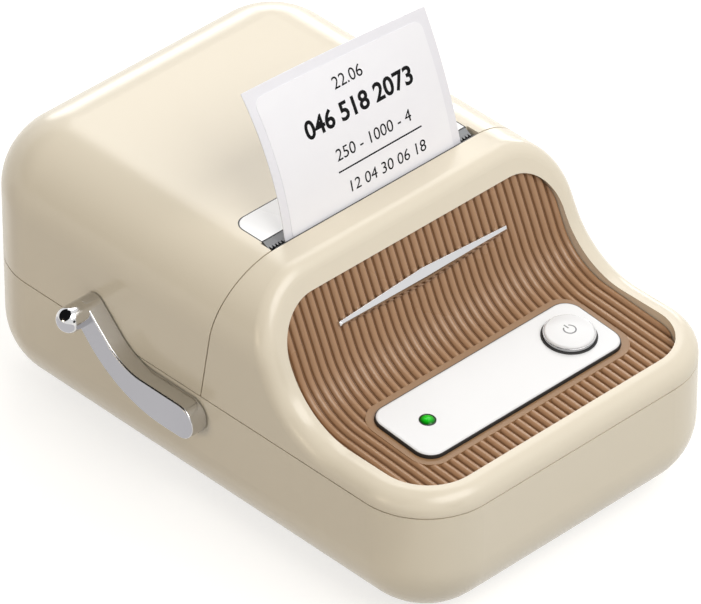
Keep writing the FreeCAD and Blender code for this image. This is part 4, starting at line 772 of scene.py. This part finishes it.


# power button: a domed cap with the standard sign, in a bright ring, and a dark collar round it that stands
# in for the shadow gap at the ring's base

buttonShape = {
    "offset": 19.6 * mm,
    "capRadius": 5.15 * mm,
    "capEdge": 2.36 * mm,
    "capRound": 0.42 * mm,
    "dome": 0.42 * mm,
    "stem": 1.5 * mm,
    "capTurn": 80,
    "capSteps": 5,
    "domeSteps": 9,
    "ring": (5.18 * mm, 5.40 * mm),
    "ringTop": 2.00 * mm,
    "ringRound": 0.11 * mm,
    "ringSteps": (5, 3),
    "gapShadow": (5.43 * mm, 5.76 * mm),
    "gapShadowHeights": (0.2 * mm, 1.27 * mm),
    "gapShadowSteps": 4,
    "signRadius": 1.25 * mm,
    "signWidth": 0.29 * mm,
    "signGap": 62,
    "signSteps": 36,
    "barStretch": 4.6,          # length of the bar over its width
    "barShift": 0.82,           # place of its middle over the sign's radius
    "barCells": 4,
    "lift": 0.012 * mm,
    "signThick": 0.03 * mm,
}


def lowestOnPlate(node):
    level = onPlate().inverted()
    return min((level @ vert.co).z for vert in nodes[node].data.vertices)


def domeHeight(radius):
    shape = buttonShape
    rim = shape["capRadius"] - shape["capRound"]
    sphere = (rim ** 2 + shape["dome"] ** 2) / (2 * shape["dome"])
    return shape["capEdge"] + shape["dome"] - sphere + math.sqrt(sphere ** 2 - radius ** 2)


def makeButton():
    shape = buttonShape
    place = onPlate(shape["offset"])
    low = lowestOnPlate("button_ring")
    stemLow = lowestOnPlate("power_button")
    edge = shape["capRound"]
    rim = shape["capRadius"] - edge
    steps = shape["domeSteps"]
    profile = [(0, stemLow), (shape["stem"], stemLow), (shape["stem"], low), (shape["capRadius"], low)]
    profile += arc(rim, shape["capEdge"] - edge, edge, 0, shape["capTurn"], shape["capSteps"])
    profile += [(rim * (1 - i / steps), domeHeight(rim * (1 - i / steps))) for i in range(steps + 1)]
    piece = finishPiece(lathe(profile, place), "buttonCap", "button", whiteGloss)
    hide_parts("power_button")
    inner, outer = shape["ring"]
    edge = shape["ringRound"]
    outerSteps, innerSteps = shape["ringSteps"]
    profile = [(inner, low), (outer, low)]
    profile += arc(outer - edge, shape["ringTop"] - edge, edge, 0, 90, outerSteps)
    profile += arc(inner + edge / 2, shape["ringTop"] - edge / 2, edge / 2, 90, 180, innerSteps)
    mesh = lathe(profile, place, closed=True)
    piece = finishPiece(mesh, "buttonRing", "button", ringChrome)
    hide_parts("button_ring")


def makeCollar(name, mat, place, radii, heights, arcSteps, steps=64):
    # a low ring whose outer upper edge is rounded by a third of its width
    inner, outer = radii
    low, high = heights
    edge = (outer - inner) / 3
    profile = [(inner, low), (outer, low)]
    profile += arc(outer - edge, high - edge, edge, 0, 90, arcSteps) + [(inner, high)]
    finishPiece(lathe(profile, place, steps, True), name, "case", mat)


def makeButtonGapShadow():
    # painted shadow: a dark collar at the ring's base in place of the shadow gap there
    shape = buttonShape
    makeCollar("buttonGapShadow", blackRubber, onPlate(shape["offset"]), shape["gapShadow"],
               shape["gapShadowHeights"], shape["gapShadowSteps"])


def makePowerSign():
    shape = buttonShape
    mesh = bmesh.new()
    inner = shape["signRadius"] - shape["signWidth"] / 2
    start = mesh.verts.new((0, inner, 0))
    end = mesh.verts.new((0, inner + shape["signWidth"], 0))
    edge = mesh.edges.new((start, end))
    half = math.radians(shape["signGap"] / 2)
    bmesh.ops.rotate(mesh, verts=mesh.verts, cent=(0, 0, 0), matrix=Matrix.Rotation(half, 3, "Z"))
    bmesh.ops.spin(mesh, geom=[start, end, edge], cent=(0, 0, 0), axis=(0, 0, 1),
                   angle=2 * (math.pi - half), steps=shape["signSteps"], use_merge=False)
    bar = bmesh.ops.create_grid(mesh, x_segments=1, y_segments=shape["barCells"],
                                size=shape["signWidth"] / 2)["verts"]
    bmesh.ops.scale(mesh, verts=bar, vec=(1, shape["barStretch"], 1))
    bmesh.ops.translate(mesh, verts=bar, vec=(0, shape["signRadius"] * shape["barShift"], 0))
    for vert in mesh.verts:
        vert.co.z = domeHeight(vert.co.xy.length) + shape["lift"]
    bmesh.ops.recalc_face_normals(mesh, faces=mesh.faces)
    if sum(face.normal.z for face in mesh.faces) < 0:
        bmesh.ops.reverse_faces(mesh, faces=mesh.faces)
    bmesh.ops.transform(mesh, matrix=onPlate(shape["offset"]), verts=mesh.verts)
    thicken(mesh, shape["signThick"])
    finishPiece(mesh, "powerSign", "button", symbolGrey)


makeButton()
makeButtonGapShadow()
makePowerSign()
print("button made")


# dark skirt round the control plate, in the gap of its seat, standing in for the shadow in that gap

plateGapShadowShape = {
    "half": (27.70 * mm, 8.80 * mm),
    "corner": 3.90 * mm,
    "band": 1.2 * mm,
    "low": -0.8 * mm,
    "high": 0.80 * mm,
    "edge": 0.10 * mm,
    "segments": 2,
}
plateCorner = {"share": 0.9999, "segments": 12}     # how much of a corner is rounded, and how finely
steepEdge = 60                  # degrees between the faces of an edge that is broken


def addRoundedFace(mesh, side, front, back, corner):
    verts = bmesh.ops.create_grid(mesh, x_segments=1, y_segments=1, size=1)["verts"]
    bmesh.ops.scale(mesh, verts=verts, vec=(side, (front + back) / 2, 1))
    bmesh.ops.translate(mesh, verts=verts, vec=(0, (back - front) / 2, 0))
    bmesh.ops.bevel(mesh, geom=verts, offset=corner * plateCorner["share"], offset_type="OFFSET",
                    segments=plateCorner["segments"], profile=0.5, affect="VERTICES", clamp_overlap=True,
                    material=-1)


def makePlateGapShadow():
    shape = plateGapShadowShape
    side, reach = shape["half"]
    mesh = bmesh.new()
    addRoundedFace(mesh, side, reach, reach, shape["corner"])
    bmesh.ops.inset_region(mesh, faces=mesh.faces[:], thickness=shape["band"], use_boundary=True,
                           use_even_offset=True)
    middle = max(mesh.faces, key=lambda face: face.calc_area())
    bmesh.ops.delete(mesh, geom=[middle], context="FACES")
    bmesh.ops.translate(mesh, verts=mesh.verts, vec=(0, 0, shape["low"]))
    extrudeFaces(mesh, (0, 0, shape["high"] - shape["low"]))
    breakEdges(mesh, shape["edge"], shape["segments"], steepEdge)
    bmesh.ops.transform(mesh, matrix=onPlate(), verts=mesh.verts)
    piece = finishPiece(mesh, "plateGapShadow", "case", darkPlastic)
    evenShade(piece)
    print("plate skirt with", len(piece.data.polygons), "faces")


makePlateGapShadow()


# smooth border round the plate, which follows the fluted surface where that bends up behind it

surroundShape = {
    # half width, reach to the front, reach to the back, corner
    "inner": (27.80 * mm, 8.90 * mm, 8.90 * mm, 4.0 * mm),
    "outer": (29.35 * mm, 10.45 * mm, 10.45 * mm, 5.1 * mm),
    "lift": 0.06 * mm,
    "thick": 0.85 * mm,
    "edge": 0.12 * mm,
    "segments": 3,
    "bendFrom": 7.04 * mm,
    "bendRadius": 15.0 * mm,
    "rows": 9,
}


def makeSurround():
    shape = surroundShape
    mesh = bmesh.new()
    addRoundedFace(mesh, *shape["inner"])
    addRoundedFace(mesh, *shape["outer"])
    bmesh.ops.delete(mesh, geom=mesh.faces[:], context="FACES_ONLY")
    bmesh.ops.bridge_loops(mesh, edges=mesh.edges[:])
    far = shape["outer"][2] - shape["bendFrom"]
    for i in range(shape["rows"]):
        cutMesh(mesh, (0, shape["bendFrom"] + far * i / shape["rows"], 0), (0, 1, 0))
    radius = shape["bendRadius"]
    for vert in mesh.verts:
        past = max(0.0, vert.co.y - shape["bendFrom"])
        vert.co.z = shape["lift"] - shape["thick"] + radius - math.sqrt(radius ** 2 - past ** 2)
    extrudeFaces(mesh, (0, 0, shape["thick"]))
    breakEdges(mesh, shape["edge"], shape["segments"], steepEdge)
    bmesh.ops.transform(mesh, matrix=onPlate(), verts=mesh.verts)
    piece = finishPiece(mesh, "plateSurround", "case", brownBorderShaded)
    evenShade(piece)
    print("plate surround with", len(piece.data.polygons), "faces")


makeSurround()


# dark lip inside the front edge of the label slot, standing in for the shadow down in the slot

slotShadowShape = {
    "half": 27.4 * mm,
    "front": -8.66 * mm,
    "back": (-8.28 * mm, -8.20 * mm),       # below and above
    "low": 60.40 * mm,
    "high": 61.28 * mm,
    "edge": 0.08 * mm,
    "segments": 3,
}


def makeSlotShadowStrip():
    shape = slotShadowShape
    mesh = bmesh.new()
    below, above = shape["back"]
    profile = ((shape["front"], shape["low"]), (below, shape["low"]), (above, shape["high"]),
               (shape["front"], shape["high"]))
    mesh.faces.new([mesh.verts.new((-shape["half"], y, z)) for y, z in profile])
    extrudeFaces(mesh, (2 * shape["half"], 0, 0))
    breakEdges(mesh, shape["edge"], shape["segments"])
    finishPiece(mesh, "slotShadowStrip", "case", darkPlastic)


makeSlotShadowStrip()
print("slot lip made")


# dark band in the gap round the tear plate, a hair proud of the lid, standing in for the shadow in that gap

tearGapShadowShape = {"grow": 0.24 * mm, "bandShare": 0.9, "rise": 0.012 * mm, "thick": 0.4 * mm}


def makeTearGapShadow():
    shape = tearGapShadowShape
    mesh = copyNode("tear_plate")
    keepLargest(mesh, Vector((0, 0, 1)))
    lows = [min(vert.co[i] for vert in mesh.verts) for i in range(3)]
    highs = [max(vert.co[i] for vert in mesh.verts) for i in range(3)]
    middle = [(low + high) / 2 for low, high in zip(lows, highs)]
    wide, deep = highs[0] - lows[0], highs[1] - lows[1]
    grow = (1 + 2 * shape["grow"] / wide, 1 + 2 * shape["grow"] / deep, 1)
    bmesh.ops.scale(mesh, vec=grow, verts=mesh.verts, space=Matrix.Translation([-value for value in middle]))
    for vert in mesh.verts:
        vert.co.y = max(vert.co.y, lows[1])     # open towards the blade
        vert.co.z += shape["rise"]
    band = bmesh.ops.inset_region(mesh, faces=mesh.faces[:], thickness=shape["grow"] * shape["bandShare"],
                                  use_boundary=True, use_even_offset=True)["faces"]
    inside = [face for face in mesh.faces if face not in band]
    bmesh.ops.delete(mesh, geom=[max(inside, key=lambda face: face.calc_area())], context="FACES")
    extrudeFaces(mesh, (0, 0, -shape["thick"]))
    finishPiece(mesh, "tearGapShadow", "lid", darkPlastic)


makeTearGapShadow()


# tear blade, with its teeth reaching nearer to the paper

bladeShape = {"from": -5.25 * mm, "stretch": 1.55, "drop": 0.30}


def makeBlade():
    shape = bladeShape
    mesh = copyNode("tear_blade")
    for vert in mesh.verts:
        past = min(0.0, vert.co.y - shape["from"]) * (shape["stretch"] - 1)
        vert.co.y += past
        vert.co.z += past * shape["drop"]
    piece = finishPiece(mesh, "bladeTeeth", "lid", bladeSteel)
    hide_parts("tear_blade")


makeBlade()
print("tear seal and blade made")


# status light: a dark collar round the lens, standing in for the shade at the lens's edge

lensEdgeShadowShape = {"offset": -19.6 * mm, "radii": (1.60 * mm, 1.75 * mm), "base": 0.95 * mm, "rise": 0.12 * mm,
              "arcSteps": 3, "steps": 48}


def makeLensEdgeShadow():
    shape = lensEdgeShadowShape
    heights = (shape["base"], plateFrame["top"] + shape["rise"])
    makeCollar("lensEdgeShadow", darkPlastic, onPlate(shape["offset"]), shape["radii"], heights,
               shape["arcSteps"], shape["steps"])


makeLensEdgeShadow()
print("light collar made")


# label with a soft curl and a plain printed layout

labelShape = {
    "exit": (0, -7.3 * mm, 61.3 * mm),
    "up": (0, 0.3947, 0.9188),
    "out": (0, -0.9188, 0.3947),
    "half": 24.0 * mm,
    "length": 30.9 * mm,
    "curl": 0.9 * mm,               # how far the right upper corner leaves the flat
    "curlPower": 1.5,
    "bow": (2.0 * mm, 1.2 * mm),    # how far the middle comes forward, left and right
    "hollow": 0.9 * mm,             # how far the middle of the upper edge lies back
    "faceSink": 4.0 * mm,           # the face goes on down into the slot
    "faceFrom": -1.4 * mm,
    "cells": (16, 14),
    "inkLift": 0.025 * mm,
    "inkThick": 0.02 * mm,
    "glyphSteps": 4,
    # words, size, boldness, place across and up
    "lines": [("22.06", 3.6 * mm, 0.0, 1.1 * mm, 23.7 * mm),
              ("046 518 2073", 5.3 * mm, 0.13 * mm, 1.6 * mm, 17.8 * mm),
              ("250 - 1000 - 4", 3.6 * mm, 0.0, 2.8 * mm, 10.3 * mm),
              ("12 04 30 06 18", 3.5 * mm, 0.0, 4.5 * mm, 2.9 * mm)],
    # place across and up, length, thickness
    "rule": (3.6 * mm, 7.0 * mm, 22.8 * mm, 0.32 * mm),
    "ruleCells": 12,
}
labelExit, labelUp, labelOut = (Vector(labelShape[key]) for key in ("exit", "up", "out"))


def curlAt(u, v):
    shape = labelShape
    high = max(0.0, min(1.0, v / shape["length"]))
    right = max(0.0, min(1.0, (u + shape["half"]) / (2 * shape["half"])))
    left, far = shape["bow"]
    bow = (left + (far - left) * right) * 4 * high * (1 - high)
    hollow = shape["hollow"] * 4 * right * (1 - right) * high ** 2
    return bow - hollow + shape["curl"] * high ** 2 * right ** shape["curlPower"]


def curlMesh(mesh):
    for vert in mesh.verts:
        v = (vert.co - labelExit).dot(labelUp)
        if v > 0 and vert.co.z > labelExit.z:
            vert.co += labelOut * curlAt(vert.co.x, v)


def cutAcross(mesh, origin, up):
    # rows and columns of vertices, so that the sheet and its print bend alike
    shape = labelShape
    across, along = shape["cells"]
    for i in range(1, across):
        cutMesh(mesh, (shape["half"] * (2 * i / across - 1), 0, 0), (1, 0, 0))
    for i in range(1, along):
        cutMesh(mesh, origin + up * shape["length"] * i / along, up)


def sinkFace(mesh):
    # the lower end moves down the slot, where it is cut off square
    shape = labelShape
    lower = [vert for vert in mesh.verts if (vert.co - labelExit).dot(labelUp) < shape["length"] / 2]
    bmesh.ops.translate(mesh, verts=lower, vec=-labelUp * shape["faceSink"])
    cutMesh(mesh, labelExit + labelUp * shape["faceFrom"], labelUp, True)
    bmesh.ops.holes_fill(mesh, edges=[edge for edge in mesh.edges if edge.is_boundary], sides=0)


def makeSheet(node, name, mat, sunk=False):
    mesh = copyNode(node)
    if sunk:
        sinkFace(mesh)
    cutAcross(mesh, labelExit, labelUp)
    curlMesh(mesh)
    piece = finishPiece(mesh, name, "case", mat)
    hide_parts(node)


def textMesh(body, size, bold):
    curve = bpy.data.curves.new("printLine", "FONT")
    curve.body = body
    curve.size = size
    curve.offset = bold
    curve.align_x = "CENTER"
    curve.align_y = "CENTER"
    curve.resolution_u = labelShape["glyphSteps"]
    holder = bpy.data.objects.new("printLine", curve)
    scene.collection.objects.link(holder)
    bpy.context.view_layer.update()
    data = bpy.data.meshes.new_from_object(holder)
    bpy.data.objects.remove(holder)
    bpy.data.curves.remove(curve)
    return data


def makePrint():
    shape = labelShape
    mesh = bmesh.new()
    for body, size, bold, u, v in shape["lines"]:
        before = len(mesh.verts)
        data = textMesh(body, size, bold)
        mesh.from_mesh(data)
        bpy.data.meshes.remove(data)
        mesh.verts.ensure_lookup_table()
        bmesh.ops.translate(mesh, verts=mesh.verts[before:], vec=(u, v, 0))
    u, v, long, thick = shape["rule"]
    bar = bmesh.ops.create_grid(mesh, x_segments=shape["ruleCells"], y_segments=1, size=0.5)["verts"]
    bmesh.ops.scale(mesh, verts=bar, vec=(long, thick, 1))
    bmesh.ops.translate(mesh, verts=bar, vec=(u, v, 0))
    cutAcross(mesh, Vector((0, 0, 0)), Vector((0, 1, 0)))
    front = max((vert.co - labelExit).dot(labelOut) for vert in nodes["label_face"].data.vertices)
    for vert in mesh.verts:
        u, v = vert.co.x, vert.co.y
        lift = front + shape["inkLift"] + curlAt(u, v)
        vert.co = labelExit + Vector((u, 0, 0)) + labelUp * v + labelOut * lift
    thicken(mesh, shape["inkThick"])
    finishPiece(mesh, "labelPrint", "case", printInk)


makeSheet("label_liner", "labelLiner", linerPaper)
makeSheet("label_face", "labelFace", labelPaper, True)
makePrint()
print("label made")
